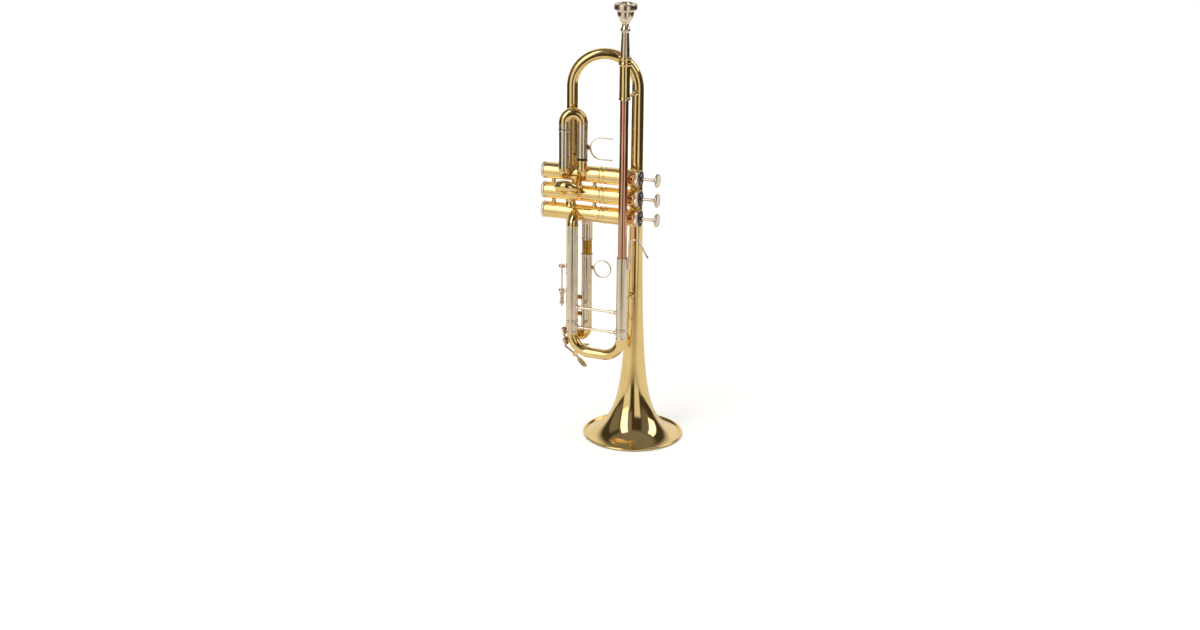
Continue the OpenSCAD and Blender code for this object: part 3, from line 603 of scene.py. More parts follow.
RING_X0, RING_X1 = -38, -31
SPACER_X = (-97.4, -45.5)
INTERVALVE_X = (-68, -75.5)
CASING_SIDES = 192
KNURLS = 60
BOTTOM_KNURL, TOP_KNURL = 0.14, 0.3
STUD_OFFSET = 4.3


def draw_casing(n):
    def draw(bm):
        outline = [(9.8, CASING_X0), (9.8, RING_X0 - 0.2), (10.55, RING_X0), (10.6, RING_X0 + 1.4),
                   (9.95, RING_X0 + 1.7), (9.9, RING_X1 - 1.7), (10.6, RING_X1 - 1.4), (10.6, RING_X1),
                   (10.3, RING_X1 + 0.2), (10.3, CASING_X1), (8.4, CASING_X1), (8.4, CASING_X0)]
        lathe(bm, outline, 0.25, along_valve(n), sides=CASING_SIDES)
    return draw


def draw_spacers(bm):
    spool = [(0, 7.6), (4.0, 7.6), (3.7, 9.3), (2.5, 10.4), (2.2, 12.2), (2.5, 14), (3.7, 15.1),
             (4.0, 16.8), (0, 16.8)]
    for n in (0, 1):
        for x in SPACER_X:
            lathe(bm, spool, 0.6, Matrix.Translation((x, VALVE_Y, VALVE_Z[n + 1])), sides=40)


def draw_intervalve(bm):
    spool = [(0, 7.2), (7.3, 7.2), (7.1, 8.6), (6.35, 9.8), (6.3, 14.6), (7.1, 15.8), (7.3, 17.2),
             (0, 17.2)]
    for n, x in enumerate(INTERVALVE_X):
        lathe(bm, spool, 0.5, Matrix.Translation((x, VALVE_Y, VALVE_Z[n + 1])))


def knurl(depth, low, high):
    """A ripple for the milled band of a cap, between two heights and on its outside only."""
    def ripple(angle, radius, height):
        inside = low < height < high and radius > 9
        return depth * (math.cos(KNURLS * angle) - 1) / 2 if inside else 0
    return ripple


def draw_bottom_caps(bm):
    x0 = span("bottom_caps")[0].x
    top = CASING_X0
    face = [(1.5, x0 + 0.5), (2.4, x0), (8.7, x0), (9.7, x0 + 0.4), (10.0, x0 + 1.1)]
    band = [Vector((10.2, x0 + 1.55 + 0.6 * k)) for k in range(4)]
    inside = [(9.9, top - 0.5), (9.9, top), (8.3, top), (8.3, top + 3), (7.1, top + 3), (7.1, x0 + 1.4),
              (1.5, x0 + 1.4)]
    outline = rounded(face, 0.3, closed=False) + band + rounded(inside, 0.2, closed=False)
    ripple = knurl(BOTTOM_KNURL, x0 + 1.5, x0 + 3.4)
    for n in range(3):
        revolve(bm, outline, along_valve(n), sides=KNURLS * 6, ripple=ripple)


def draw_top_caps(bm):
    x0, x1 = CASING_X1, span("top_caps")[1].x
    skirt = [(8.3, x0 - 3), (8.3, x0), (10.1, x0), (10.2, x0 + 0.7)]
    band = [Vector((10.5, x0 + 1.2 + 0.7 * k)) for k in range(5)]
    crown = [(10.3, x1 - 1.4), (10.2, x1 - 0.7), (9.8, x1), (2.3, x1), (2.3, x1 - 4), (7.1, x1 - 4.4),
             (7.1, x0 - 3)]
    outline = rounded(skirt, 0.2, closed=False) + band + rounded(crown, 0.3, closed=False)
    ripple = knurl(TOP_KNURL, x0 + 1.1, x0 + 4.2)
    for n in range(3):
        revolve(bm, outline, along_valve(n), sides=KNURLS * 6, ripple=ripple)


def draw_washers(bm):
    x0, x1 = (corner.x for corner in span("cap_washers"))
    for n in range(3):
        lathe(bm, tube_outline(x0, x1, 9.6, 2.3), 0.35, along_valve(n))


def draw_studs(bm):
    """The two bright rivets whose heads stand on each washer."""
    x1 = span("cap_washers")[1].x
    head = [(0, x1 - 0.6), (1.35, x1 - 0.6), (1.35, x1 + 0.05), (0.9, x1 + 0.3), (0, x1 + 0.4)]
    for n in range(3):
        for side in (-STUD_OFFSET, STUD_OFFSET):
            spot = along_valve(n) @ Matrix.Translation((side, 0, 0))
            lathe(bm, head, 0.2, spot, sides=32)


def draw_stem(n):
    def draw(bm):
        lo, hi = span(f"valve_stem_{n + 1}")
        outline = [(0, lo.x), (1.75, lo.x), (1.75, hi.x - 4), (2.1, hi.x - 2.4), (2.1, hi.x), (0, hi.x)]
        lathe(bm, outline, 0.5, along_valve(n), sides=40)
    return draw


def draw_button(n):
    def draw(bm):
        lo, hi = span(f"finger_button_{n + 1}")
        a, b = lo.x, hi.x
        outline = [(0, a), (3.0, a), (4.5, a + 0.7), (5.4, a + 1.3), (7.6, a + 1.7), (8.5, a + 2.6),
                   (8.5, b - 1), (8.1, b - 0.2), (7.3, b), (6.35, b - 0.15), (6.25, b - 0.9), (0, b - 0.9)]
        lathe(bm, outline, 0.5, along_valve(n), sides=64)
    return draw


def draw_pearl(n):
    def draw(bm):
        top = span(f"finger_button_{n + 1}")[1].x
        outline = [(0, top - 0.88), (6.2, top - 0.88), (6.2, top - 0.3), (5.2, top - 0.12), (3.2, top - 0.2),
                   (0, top - 0.28)]
        lathe(bm, outline, 0.4, along_valve(n), sides=64)
    return draw


for index in range(3):
    number = index + 1
    body = f"valve_{number}"
    build(f"casing_{number}", draw_casing(index), BRASS, f"valve_casing_{number}")
    build(f"stem_{number}", draw_stem(index), SILVER, f"valve_stem_{number}", body=body)
    build(f"button_{number}", draw_button(index), SILVER, f"finger_button_{number}", body=body)
    build(f"pearl_{number}", draw_pearl(index), PEARL, f"button_pearl_{number}", body=body)
build("spacer_spools", draw_spacers, BRASS, "casing_spacers")
build("intervalve_sleeves", draw_intervalve, BRASS, "intervalve_tubes")
build("bottom_cap_set", draw_bottom_caps, SILVER, "bottom_caps")
build("top_cap_set", draw_top_caps, SILVER, "top_caps")
build("washer_set", draw_washers, RUBBER, "cap_washers")
build("washer_studs", draw_studs, SILVER, "cap_washers")


# ---- main tuning slide ----

CROOK_BEND = 24
CROOK_R = 6.5
LEG_SLEEVES = ((LEAD, 147.6), (LOW, 150.6))
CROOK_ALONG = Vector((LEAD.x - LOW.x, LEAD.y - LOW.y, 0)).normalized()
CROOK_SPAN = (LEAD - LOW).length


def draw_tuning_tubes(bm):
    z0, z1 = CROOK_Z, heights("tuning_slide_tubes")[1]
    for xy, top in LEG_SLEEVES:
        outline = [(6.95, z0 - 0.4), (6.95, z0 + 1.4), (6.62, z0 + 1.8), (6.62, top - 1.6), (6.95, top - 1.3),
                   (6.95, top), (INNER_R, top), (INNER_R, z1), (BORE_R, z1), (BORE_R, z0 - 0.4)]
        lathe(bm, outline, 0.25, upright(xy))


def draw_crook(bm):
    low = Vector((LOW.x, LOW.y, CROOK_Z))
    path = [low + UP * 0.5]
    path += arc(low + CROOK_ALONG * CROOK_BEND, CROOK_ALONG, UP, CROOK_BEND, 180, 270, 4)
    path += arc(low + CROOK_ALONG * (CROOK_SPAN - CROOK_BEND), CROOK_ALONG, UP, CROOK_BEND, 270, 360, 4)
    path.append(low + CROOK_ALONG * CROOK_SPAN + UP * 0.5)
    sweep(bm, path, ellipse(CROOK_R, CROOK_R, BEND_SIDES), first_side=CROOK_ALONG)


def draw_slide_brace(bm):
    z = middle("tuning_slide_brace").z
    flanged_rod(bm, (LOW.x, LOW.y, z), (LEAD.x, LEAD.y, z), 6.65, 6.65, 1.5, 3.3, BRACE_SLEEVE)


build("tuning_slide_legs", draw_tuning_tubes, NICKEL, "tuning_slide_tubes", body="tuning_slide")
build("tuning_crook_bend", draw_crook, BRASS, "tuning_crook", body="tuning_slide")
build("tuning_slide_rod", draw_slide_brace, NICKEL, "tuning_slide_brace", body="tuning_slide")


# ---- water keys ----

EAR_Y = 3.4
PIN_HALF = 5.2
COIL_R, COIL_TURNS, COIL_STEPS = 2.6, 2.25, 72
COIL_Y, COIL_PITCH = -2.2, 0.62
COIL_WIRE_R = 0.22


def polar(r, degrees):
    """A point at this distance and angle, in a plane of constant Y."""
    a = math.radians(degrees)
    return Vector((r * math.cos(a), 0, r * math.sin(a)))


class Key:
    """A water key. Its points lie in a plane of constant Y and are given from the centre of a bend:
    the pivot, the crank where the arm turns, and the tip of the arm. A finger plate of this length
    ends a little past the tip, and leans about the arm's own line."""

    def __init__(self, centre, pivot, cup_angle, pad_r, crank, tip, plate_past, plate_length, lean):
        self.centre = Vector(centre)
        self.pivot, self.crank, self.tip = (self.centre + Vector((x, 0, z)) for x, z in (pivot, crank, tip))
        self.cup_angle = cup_angle
        self.pad_r = pad_r
        self.plate_past = plate_past
        self.plate_length = plate_length
        self.lean = math.radians(lean)

    def out(self):
        return polar(1, self.cup_angle)

    def draw_arm(self, bm):
        aside = polar(1, self.cup_angle + 90)
        cup = self.centre + self.out() * (self.pad_r + 4.6)
        elbow = cup + aside * 6.6
        route = [cup - aside * 1.5, cup + aside * 3, elbow, elbow.lerp(self.pivot, 0.65), self.pivot,
                 self.pivot.lerp(self.crank, 0.6), self.crank, self.crank.lerp(self.tip, 0.4),
                 self.crank.lerp(self.tip, 0.75)]
        sweep(bm, spline(route, 6), ellipse(2.0, 1.2, 24), first_side=ASIDE, round_ends=True)

    def draw_plate(self, bm):
        along = (self.tip - self.crank).normalized()
        steps = 16
        path = [self.tip + along * (self.plate_past - self.plate_length * (1 - k / steps))
                for k in range(steps + 1)]
        across = math.cos(self.lean) * ASIDE + math.sin(self.lean) * along.cross(ASIDE)
        sweep(bm, path, ellipse(3.1, 0.9, 36), first_side=across, round_ends=True,
              scale=lambda t: 0.3 + 0.7 * math.sqrt(1 - abs(2 * t - 1) ** 2.4))

    def draw_lever(self, bm):
        self.draw_arm(bm)
        self.draw_plate(bm)
        barrel = [(0, -2.4), (2.0, -2.4), (2.0, -1.7), (1.7, -1.4), (1.7, 1.4), (2.0, 1.7), (2.0, 2.4),
                  (0, 2.4)]
        lathe(bm, barrel, 0.2, place(self.pivot, ASIDE), sides=36)
        r = self.pad_r
        shell = [(4.4, r + 1.6), (5.0, r + 1.6), (5.0, r + 3.2), (4.2, r + 4.1), (2.4, r + 4.7), (0, r + 4.9),
                 (0, r + 3.0), (4.4, r + 3.0)]
        lathe(bm, shell, 0.35, place(self.centre, self.out()), sides=48)

    def draw_cork(self, bm):
        r = self.pad_r
        plug = [(0, r + 0.05), (3.9, r + 0.05), (4.3, r + 0.5), (4.35, r + 2.95), (0, r + 2.95)]
        lathe(bm, plug, 0.3, place(self.centre, self.out()), sides=40)

    def draw_saddle(self, bm):
        """Two ears that hold the pin, the pin with its heads, and the spout under the cork."""
        toward = (self.centre - self.pivot).normalized()
        for side in (-1, 1):
            head = self.pivot + side * EAR_Y * ASIDE
            foot = head + toward * 6
            sweep(bm, [foot, foot.lerp(head, 0.4), head - toward * 0.4], ellipse(2.6, 0.85, 28, 0.6),
                  first_side=toward.cross(ASIDE), scale=lambda t: 1 - 0.18 * t, round_ends=True)
            rivet = [(0, 4.0), (1.35, 4.0), (1.35, 4.7), (0.9, 5.1), (0, PIN_HALF)]
            lathe(bm, rivet, 0.2, place(self.pivot, side * ASIDE), sides=28)
        pin = [(0, -PIN_HALF), (0.8, -PIN_HALF), (0.8, PIN_HALF), (0, PIN_HALF)]
        lathe(bm, pin, 0.25, place(self.pivot, ASIDE), sides=28)
        r = self.pad_r
        spout = [(1.2, r - 4), (3.1, r - 4), (2.9, r - 1.8), (2.4, r - 1.0), (2.4, r), (1.2, r)]
        lathe(bm, spout, 0.2, place(self.centre, self.out()), sides=36)


def spline(points, steps):
    """A smooth Catmull-Rom curve through the points."""
    out = []
    last = len(points) - 1
    for i in range(last):
        p0, p1 = points[max(i - 1, 0)], points[i]
        p2, p3 = points[i + 1], points[min(i + 2, last)]
        for k in range(steps):
            t = k / steps
            out.append(0.5 * (2 * p1 + (p2 - p0) * t + (2 * p0 - 5 * p1 + 4 * p2 - p3) * t * t
                              + (3 * p1 - p0 - 3 * p2 + p3) * t ** 3))
    out.append(points[-1])
    return out


THIRD_BEND = (THIRD_X[0] - THIRD_X[1]) / 2
MAIN_KEY = Key(
    centre=Vector((LOW.x, LOW.y, CROOK_Z)) + CROOK_ALONG * CROOK_BEND,
    pivot=(-19.3, -28.2), cup_angle=201.9, pad_r=CROOK_BEND + 8, crank=(-11, -37.4), tip=(-5.5, -42.6),
    plate_past=0.5, plate_length=15, lean=50)
THIRD_KEY = Key(
    centre=(sum(THIRD_X) / 2, VALVE_Y, THIRD_CROOK_Z),
    pivot=(-12.3, -17.6), cup_angle=201.2, pad_r=THIRD_BEND + 7.9, crank=(-1.5, -23), tip=(12.5, -21.8),
    plate_past=1, plate_length=12, lean=20)


def draw_key_spring(bm):
    points = []
    for i in range(COIL_STEPS + 1):
        a = TAU * COIL_TURNS * i / COIL_STEPS
        y = COIL_Y + COIL_PITCH * i / COIL_STEPS
        points.append(MAIN_KEY.pivot + Vector((COIL_R * math.cos(a), y, COIL_R * math.sin(a))))
    points.append(points[-1] + Vector((0.4, 0.1, 2.2)))
    sweep(bm, points, ellipse(COIL_WIRE_R, COIL_WIRE_R, 10), round_ends=True)


build("water_key_mount", MAIN_KEY.draw_saddle, BRASS, "water_key_saddle", body="tuning_slide")
build("water_key_coil", draw_key_spring, STEEL, "water_key_spring", body="tuning_slide")
build("water_key_arm", MAIN_KEY.draw_lever, SILVER, "water_key_lever", body="water_key")
build("water_key_pad", MAIN_KEY.draw_cork, CORK, "water_key_cork", body="water_key")
build("third_key_mount", THIRD_KEY.draw_saddle, BRASS, "third_key_saddle", body="third_slide")
build("third_key_arm", THIRD_KEY.draw_lever, SILVER, "third_key_lever", body="third_water_key")
build("third_key_pad", THIRD_KEY.draw_cork, CORK, "third_key_cork", body="third_water_key")


# ---- first slide ----

ELBOW = 8
ELBOW_Z = VALVE_Z[0] + ELBOW
FIRST_A_TOP, FIRST_B_TOP = 389, 352


def draw_first_elbows(bm):
    for xy in (FIRST_A, FIRST_B):
        path = [Vector((xy.x, xy.y, ELBOW_Z + 1))]
        path += arc(Vector((xy.x, xy.y + ELBOW, ELBOW_Z)), -ASIDE, -UP, ELBOW, 0, 90, 5)
        sweep(bm, path, ellipse(6.4, 6.4, 48), first_side=ACROSS)
        collar = [(0, ELBOW_Z), (6.95, ELBOW_Z), (6.95, ELBOW_Z + 2.6), (6.4, ELBOW_Z + 3), (0, ELBOW_Z + 3)]
        lathe(bm, collar, 0.4, upright(xy))
    bead_z = FIRST_B_TOP - SOCKET_BEAD_H
    ringed_tube(bm, FIRST_B, ELBOW_Z + 1, FIRST_B_TOP, 6.45, 6.1, bead_z, SOCKET_BEAD_H)


def draw_first_sockets(bm):
    bead_z = FIRST_A_TOP - SOCKET_BEAD_H
    ringed_tube(bm, FIRST_A, ELBOW_Z + 1, FIRST_A_TOP, 6.45, 6.1, bead_z, SOCKET_BEAD_H)
    ringed_tube(bm, FIRST_B, FIRST_B_TOP - 7, heights("first_slide_sockets")[1], 5.95, 5.6)


def draw_first_tubes(bm):
    top, low = FIRST_CROOK_Z, FIRST_A_TOP + 0.4
    plain = [(6.45, low), (6.45, top), (5.8, top), (5.8, FIRST_B_TOP), (6.05, FIRST_B_TOP), (6.05, low)]
    lathe(bm, plain, 0.2, upright(FIRST_A))
    low = FIRST_B_TOP + 3
    collared = [(7.05, low), (7.05, low + 1.6), (6.45, low + 2), (6.45, top), (6.0, top), (6.0, low)]
    lathe(bm, collared, 0.25, upright(FIRST_B))


def half_loop(bm, a, b, z, r, up=1):
    """A half torus that joins two upright legs at height z."""
    a, b = Vector((a.x, a.y, z)), Vector((b.x, b.y, z))
    u, rise = (a - b).normalized(), UP * up
    turn = arc((a + b) / 2, u, rise, (a - b).length / 2, 0, 180, 4)
    sweep(bm, [a - rise * 1.5] + turn + [b - rise * 1.5], ellipse(r, r, BEND_SIDES), first_side=u)


def draw_first_crook(bm):
    z = FIRST_CROOK_Z
    half_loop(bm, FIRST_A, FIRST_B, z, 6.45)
    collar = [(6.2, z - 2.6), (6.85, z - 2.6), (6.85, z - 0.6), (6.4, z - 0.2), (6.2, z - 0.2)]
    for xy in (FIRST_A, FIRST_B):
        lathe(bm, collar, 0.3, upright(xy))


def draw_thumb_saddle(bm):
    """A flat strip bent to a half round that opens away from the slide, on a flared foot."""
    centre = Vector((-35, FIRST_B.y, 367.5))
    radius, tip = 13, -21
    upper = [Vector((tip - d, centre.y, centre.z + radius)) for d in (0, 5, 10)]
    lower = [Vector((tip - d, centre.y, centre.z - radius)) for d in (10, 5, 0)]
    path = upper + arc(centre, ACROSS, UP, radius, 90, 270, 5) + lower
    sweep(bm, path, ellipse(2.5, 0.6, 24, 0.8), first_side=ASIDE, round_ends=True)
    foot = [Vector((x, centre.y, centre.z)) for x in (-52.6, -51.2, -49.6, -48)]
    sweep(bm, foot, ellipse(2.7, 4.6, 28, 0.8), scale=lambda t: 1 - 0.55 * t, first_side=ASIDE)


def draw_first_gap_shadows(bm):
    """Painted shadows: dark rings that stand for the shade in the gaps where the sleeves meet."""
    for z0, z1, outer, inner, xy in ((FIRST_A_TOP - 0.05, FIRST_A_TOP + 0.5, 6.9, 6.06, FIRST_A),
                                     (FIRST_B_TOP + 0.1, FIRST_B_TOP + 2.9, 6.1, 5.7, FIRST_B)):
        lathe(bm, tube_outline(z0, z1, outer, inner), 0.1, upright(xy))


# painted shadows: dark rings in the first slide's sleeve gaps
build("first_slide_gap_shadows", draw_first_gap_shadows, GAP_SHADOW, "first_slide_sockets")
build("first_slide_elbows", draw_first_elbows, BRASS, "first_slide_sockets")
build("first_slide_outers", draw_first_sockets, NICKEL, "first_slide_sockets")
build("first_slide_legs", draw_first_tubes, NICKEL, "first_slide_tubes", body="first_slide")
build("first_slide_bow", draw_first_crook, BRASS, "first_slide_crook", body="first_slide")
build("thumb_saddle_strip", draw_thumb_saddle, SILVER, "thumb_saddle", body="first_slide")


# ---- second slide ----

# How far along the slide its sockets end and its crook begins
SECOND_OUT, SECOND_BOW = 17, 22
SECOND_AXIS = Vector((0, -math.cos(SECOND_LIFT), math.sin(SECOND_LIFT)))


def second_leg(x):
    return place((x, VALVE_Y, VALVE_Z[1]), SECOND_AXIS)


def draw_second_sockets(bm):
    end = SECOND_OUT
    outline = [(7.2, 7.5), (6.9, 9.6), (6.1, 11), (6.1, end - 1.5), (6.6, end - 1.3), (6.6, end), (5.7, end),
               (5.7, 7.5)]
    for x in SECOND_X:
        lathe(bm, outline, 0.3, second_leg(x))


def draw_second_slide(bm):
    end, bow = SECOND_OUT, SECOND_BOW
    outline = [(5.65, 10), (5.65, end + 0.4), (6.5, end + 0.4), (6.5, end + 1.6), (6.1, end + 2),
               (6.1, bow + 0.3), (5.2, bow + 0.3), (5.2, 10)]
    for x in SECOND_X:
        lathe(bm, outline, 0.25, second_leg(x))
    centre = Vector((sum(SECOND_X) / 2, VALVE_Y, VALVE_Z[1])) + SECOND_AXIS * bow
    half = (SECOND_X[0] - SECOND_X[1]) / 2
    path = arc(centre, ACROSS, SECOND_AXIS, half, 0, 180, 4)
    sweep(bm, path, ellipse(6.1, 6.1, BEND_SIDES), first_side=ACROSS)


build("second_slide_outers", draw_second_sockets, BRASS, "second_slide_sockets")
build("second_slide_bow", draw_second_slide, BRASS, "second_slide", body="second_slide")


# ---- third slide ----

THIRD_UPPER = Vector((THIRD_X[0], VALVE_Y))
THIRD_LOWER = Vector((THIRD_X[1], VALVE_Y))
THIRD_R = 6.55
UPPER_SOCKET_Z, LOWER_SOCKET_Z = 252, 205
BARE_TUBE_Z = 160
LOWER_LEG_TOP, LOWER_INNER_TOP = 187.1, 225
THIRD_BRACE_Z = (177, 156)
STOP_X = -86.7
GUIDE_Z, POST_Z = 181, 212
BOSS_R, BOSS_H = 4.3, 4
NUT_KNURLS = 24


def draw_third_sockets(bm):
    top = VALVE_Z[2] - 7
    base = [(0, top - 5), (7.0, top - 5), (7.3, top - 1), (7.6, top + 2), (0, top + 2)]
    for xy, z, inner in ((THIRD_UPPER, UPPER_SOCKET_Z, 5.9), (THIRD_LOWER, LOWER_SOCKET_Z, 6.1)):
        ringed_tube(bm, xy, z, top, THIRD_R, inner, z, SOCKET_BEAD_H)
        lathe(bm, base, 0.6, upright(xy))


def draw_third_inner(bm):
    lathe(bm, tube_outline(BARE_TUBE_Z, UPPER_SOCKET_Z + 1, 6.0, 5.6), 0.1, upright(THIRD_UPPER))


def draw_third_tubes(bm):
    z, top = THIRD_CROOK_Z, THIRD_TOP
    ringed_tube(bm, THIRD_UPPER, z, top, THIRD_R, INNER_R, top - SOCKET_BEAD_H, SOCKET_BEAD_H)
    outline = [(THIRD_R, z), (THIRD_R, LOWER_LEG_TOP), (INNER_R, LOWER_LEG_TOP), (INNER_R, LOWER_INNER_TOP),
               (BORE_R, LOWER_INNER_TOP), (BORE_R, z)]
    lathe(bm, outline, 0.2, upright(THIRD_LOWER))


def draw_third_crook(bm):
    z = THIRD_CROOK_Z
    half_loop(bm, THIRD_UPPER, THIRD_LOWER, z, THIRD_R, up=-1)
    collar = [(6.3, z - 0.4), (6.95, z - 0.4), (6.95, z + 1.8), (6.5, z + 2.2), (6.3, z + 2.2)]
    for xy in (THIRD_UPPER, THIRD_LOWER):
        lathe(bm, collar, 0.3, upright(xy))


def draw_boss(bm, z):
    """A rounded guide round the stop rod, with a web to the slide's leg."""
    r, top, half = BOSS_R, z + BOSS_H, BOSS_H / 2
    bead = [(0, z - 0.4), (r - 1.0, z - 0.2), (r - 0.2, z + 0.9), (r, z + half), (r - 0.2, top - 0.9),
            (r - 1.0, top + 0.2), (0, top + 0.4)]
    lathe(bm, bead, 0.6, upright((STOP_X, VALVE_Y)), sides=40)
    web = [Vector((x, VALVE_Y, z + half)) for x in (STOP_X + 2, STOP_X + 4, THIRD_X[1] - 6)]
    sweep(bm, web, ellipse(1.6, half - 0.2, 24, 0.7), first_side=ASIDE)


def draw_third_braces(bm):
    spool = [(0, 6.2), (3.3, 6.2), (3.2, 7.2), (2.3, 7.7), (2.3, 8.9), (2.9, 9.3), (2.9, 10.7), (2.3, 11.1),
             (2.3, 12.3), (3.2, 12.9), (3.3, 13.8), (0, 13.8)]
    for z in THIRD_BRACE_Z:
        lathe(bm, spool, 0.35, place((THIRD_X[1], VALVE_Y, z), ACROSS), sides=36)


def draw_guide(bm):
    draw_boss(bm, GUIDE_Z)


def draw_stop_rod(bm):
    draw_boss(bm, POST_Z)
    low, top = 162, POST_Z + BOSS_H
    rod = [(0, low), (0.25, low), (1.0, low + 1.6), (1.0, top), (0, top)]
    lathe(bm, rod, 0.3, upright((STOP_X, VALVE_Y)), sides=28)


def draw_stop_nuts(bm):
    lower = [(1.0, 164.4), (1.5, 164.4), (2.3, 166), (3.1, 166.3), (3.1, 168.3), (2.5, 168.7), (2.4, 170.6),
             (2.4, 173.1), (1.0, 173.1)]
    upper = [(1.0, 173.5), (2.5, 173.5), (2.5, 177.4), (3.1, 177.8), (3.1, 180.6), (1.0, 180.6)]
    for outline in (lower, upper):
        lathe(bm, outline, 0.3, upright((STOP_X, VALVE_Y)), sides=NUT_KNURLS * 5,
              ripple=lambda a, r, h: -0.14 * (1 + math.cos(NUT_KNURLS * a)) if r > 2.8 else 0)


def draw_finger_ring(bm):
    """A flat band bent to a full ring, on a flared neck from the slide's leg."""
    centre = Vector((-34.6, VALVE_Y, middle("finger_ring").z))
    section = ellipse(1.9, 0.62, 24, 0.85)
    rings = []
    for p in arc(centre, ACROSS, UP, 10.6, 0, 360, 4)[:-1]:
        n = (p - centre).normalized()
        rings.append([bm.verts.new(p + a * ASIDE + b * n) for a, b in section])
    for lower, upper in zip(rings, rings[1:] + rings[:1]):
        join(bm, lower, upper)
    neck = [Vector((x, centre.y, centre.z)) for x in (-48.8, -47.6, -46.4, -44.9)]
    sweep(bm, neck, ellipse(2.4, 3.6, 28, 0.8), scale=lambda t: 1 - 0.5 * t, first_side=ASIDE)


def draw_third_gap_shadow(bm):
    """A painted shadow: a dark ring that stands for the shade in the gap where the bare tube enters its
    socket.
    """
    z = UPPER_SOCKET_Z
    lathe(bm, tube_outline(z - 0.8, z + 0.2, 6.04, 5.8), 0.03, upright(THIRD_UPPER))


# painted shadow: a dark ring in the third slide's socket gap
build("third_slide_gap_shadow", draw_third_gap_shadow, GAP_SHADOW, "third_slide_sockets")
build("third_slide_outers", draw_third_sockets, NICKEL, "third_slide_sockets")
build("third_slide_inner", draw_third_inner, DEEP_BRASS, "third_slide_sockets")
build("third_slide_legs", draw_third_tubes, NICKEL, "third_slide_tubes", body="third_slide")
build("third_slide_bow", draw_third_crook, BRASS, "third_slide_crook", body="third_slide")
build("third_brace_set", draw_third_braces, DEEP_BRASS, "third_slide_braces", body="third_slide")
build("third_rod_guide", draw_guide, SILVER, "third_slide_braces", body="third_slide", slot="lacquered_brass")
build("finger_ring_band", draw_finger_ring, SILVER, "finger_ring", body="third_slide")
build("stop_rod_post", draw_stop_rod, SILVER, "third_stop_rod")
build("stop_nut_pair", draw_stop_nuts, NICKEL, "third_stop_nuts")


# ---- the pieces inside the valves keep their CAD shapes ----

INSIDE = {"valve_guides": DEEP_BRASS}
for number in (1, 2, 3):
    INSIDE[f"piston_{number}"] = ALLOY
    INSIDE[f"valve_spring_{number}"] = STEEL
for cad, material in INSIDE.items():
    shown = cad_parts[cad]
    shown.data.materials.clear()
    shown.data.materials.append(material)


# ---- floor, light and camera, in metres ----

CAMERA_PLACE = Vector((0.7100, -2.1811, 0.9506))
CAMERA_TURN = math.radians(19.08)
CAMERA_TILT = math.radians(19.15)
CAMERA_ROLL = math.radians(0.6)
CAMERA_LENS = 59.59
CAMERA_SENSOR = 36
FLOOR_REACH = 9
FLOOR_Z, PAPER_Z = -0.0005, -0.0003
FLOOR_COLOUR = (0.93, 0.925, 0.915)
FLOOR_ROUGHNESS = 0.8
PAPER_SIDE, PAPER_FRONT, PAPER_FAR = 1.0, -0.64, 1.4
# Painted shade: the paper is a dimmer copy of the floor that only the metal mirrors, and darkens further
# towards the camera
PAPER_SHADED_COLOUR = (0.66, 0.63, 0.57)
PAPER_SHADE = (0.30, 0.28, 0.24)
PAPER_FADE = (0.34, 0.60)
SUN_WIDTH = math.radians(75)
SUN_LEAN = (math.radians(14), math.radians(-10), 0)
SUN_STRENGTH = 2.5

# The studio that the metal mirrors. Azimuths are from the camera's side and elevations from the
# horizon, in degrees. The ceiling lies on the dark room, the backdrop on the ceiling, and the
# panels on those, each covering what comes before it: azimuth from and to, elevation from and to,
# softness of the edges, brightness and tint.
WARM = (1.0, 0.95, 0.86)
NEUTRAL = (1.0, 0.98, 0.95)
ROOM = (0.052, 0.043, 0.030)
CEILING = (58, 90, 6)
CEILING_LEVEL = 0.20
BACKDROP = (0.86, 0.83, 0.77)
BACKDROP_EDGE = (119, 140)
BACKDROP_SLANT = 0.35
BACKDROP_BOTTOM = (-13, -6)
BACKDROP_TOP = (62, 46)
PANELS = (
    (-112, -70, 2, 48, 5, 0.20, WARM),
    (46, 84, 8, 58, 6, 0.16, WARM),
    (-24, -6, 16, 60, 5, 0.24, WARM),
    (-64, -20, -46, 14, 5, 0.84, WARM),
    (9, 42, -46, 24, 4, 0.80, WARM),
    (-62, -28, 11, 62, 3, 2.2, NEUTRAL),
    (83, 111, 18, 55, 3, 2.2, NEUTRAL),
)


def turned_axes(tree, coords):
    """A direction's X, Y and Z after a turn by the camera's angle: X to its right, Y away from it."""
    turned = node(tree, "ShaderNodeVectorRotate")
    turned.rotation_type = "Z_AXIS"
    turned.inputs["Angle"].default_value = -CAMERA_TURN
    tree.links.new(coords, turned.inputs["Vector"])
    axes = node(tree, "ShaderNodeSeparateXYZ")
    tree.links.new(turned.outputs["Vector"], axes.inputs["Vector"])
    return axes.outputs


def flat_sheet(name, corners, colour, height):
    bm = bmesh.new()
    bm.faces.new([bm.verts.new((x, y, height)) for x, y in corners])
    mesh = bpy.data.meshes.new(name)
    bm.to_mesh(mesh)
    bm.free()
    material = bpy.data.materials.new(name)
    material.use_nodes = True
    shader = material.node_tree.nodes["Principled BSDF"]
    shader.inputs["Base Color"].default_value = (*colour, 1)
    shader.inputs["Roughness"].default_value = FLOOR_ROUGHNESS
    mesh.materials.append(material)
    sheet = bpy.data.objects.new(name, mesh)
    bpy.context.scene.collection.objects.link(sheet)
    return sheet


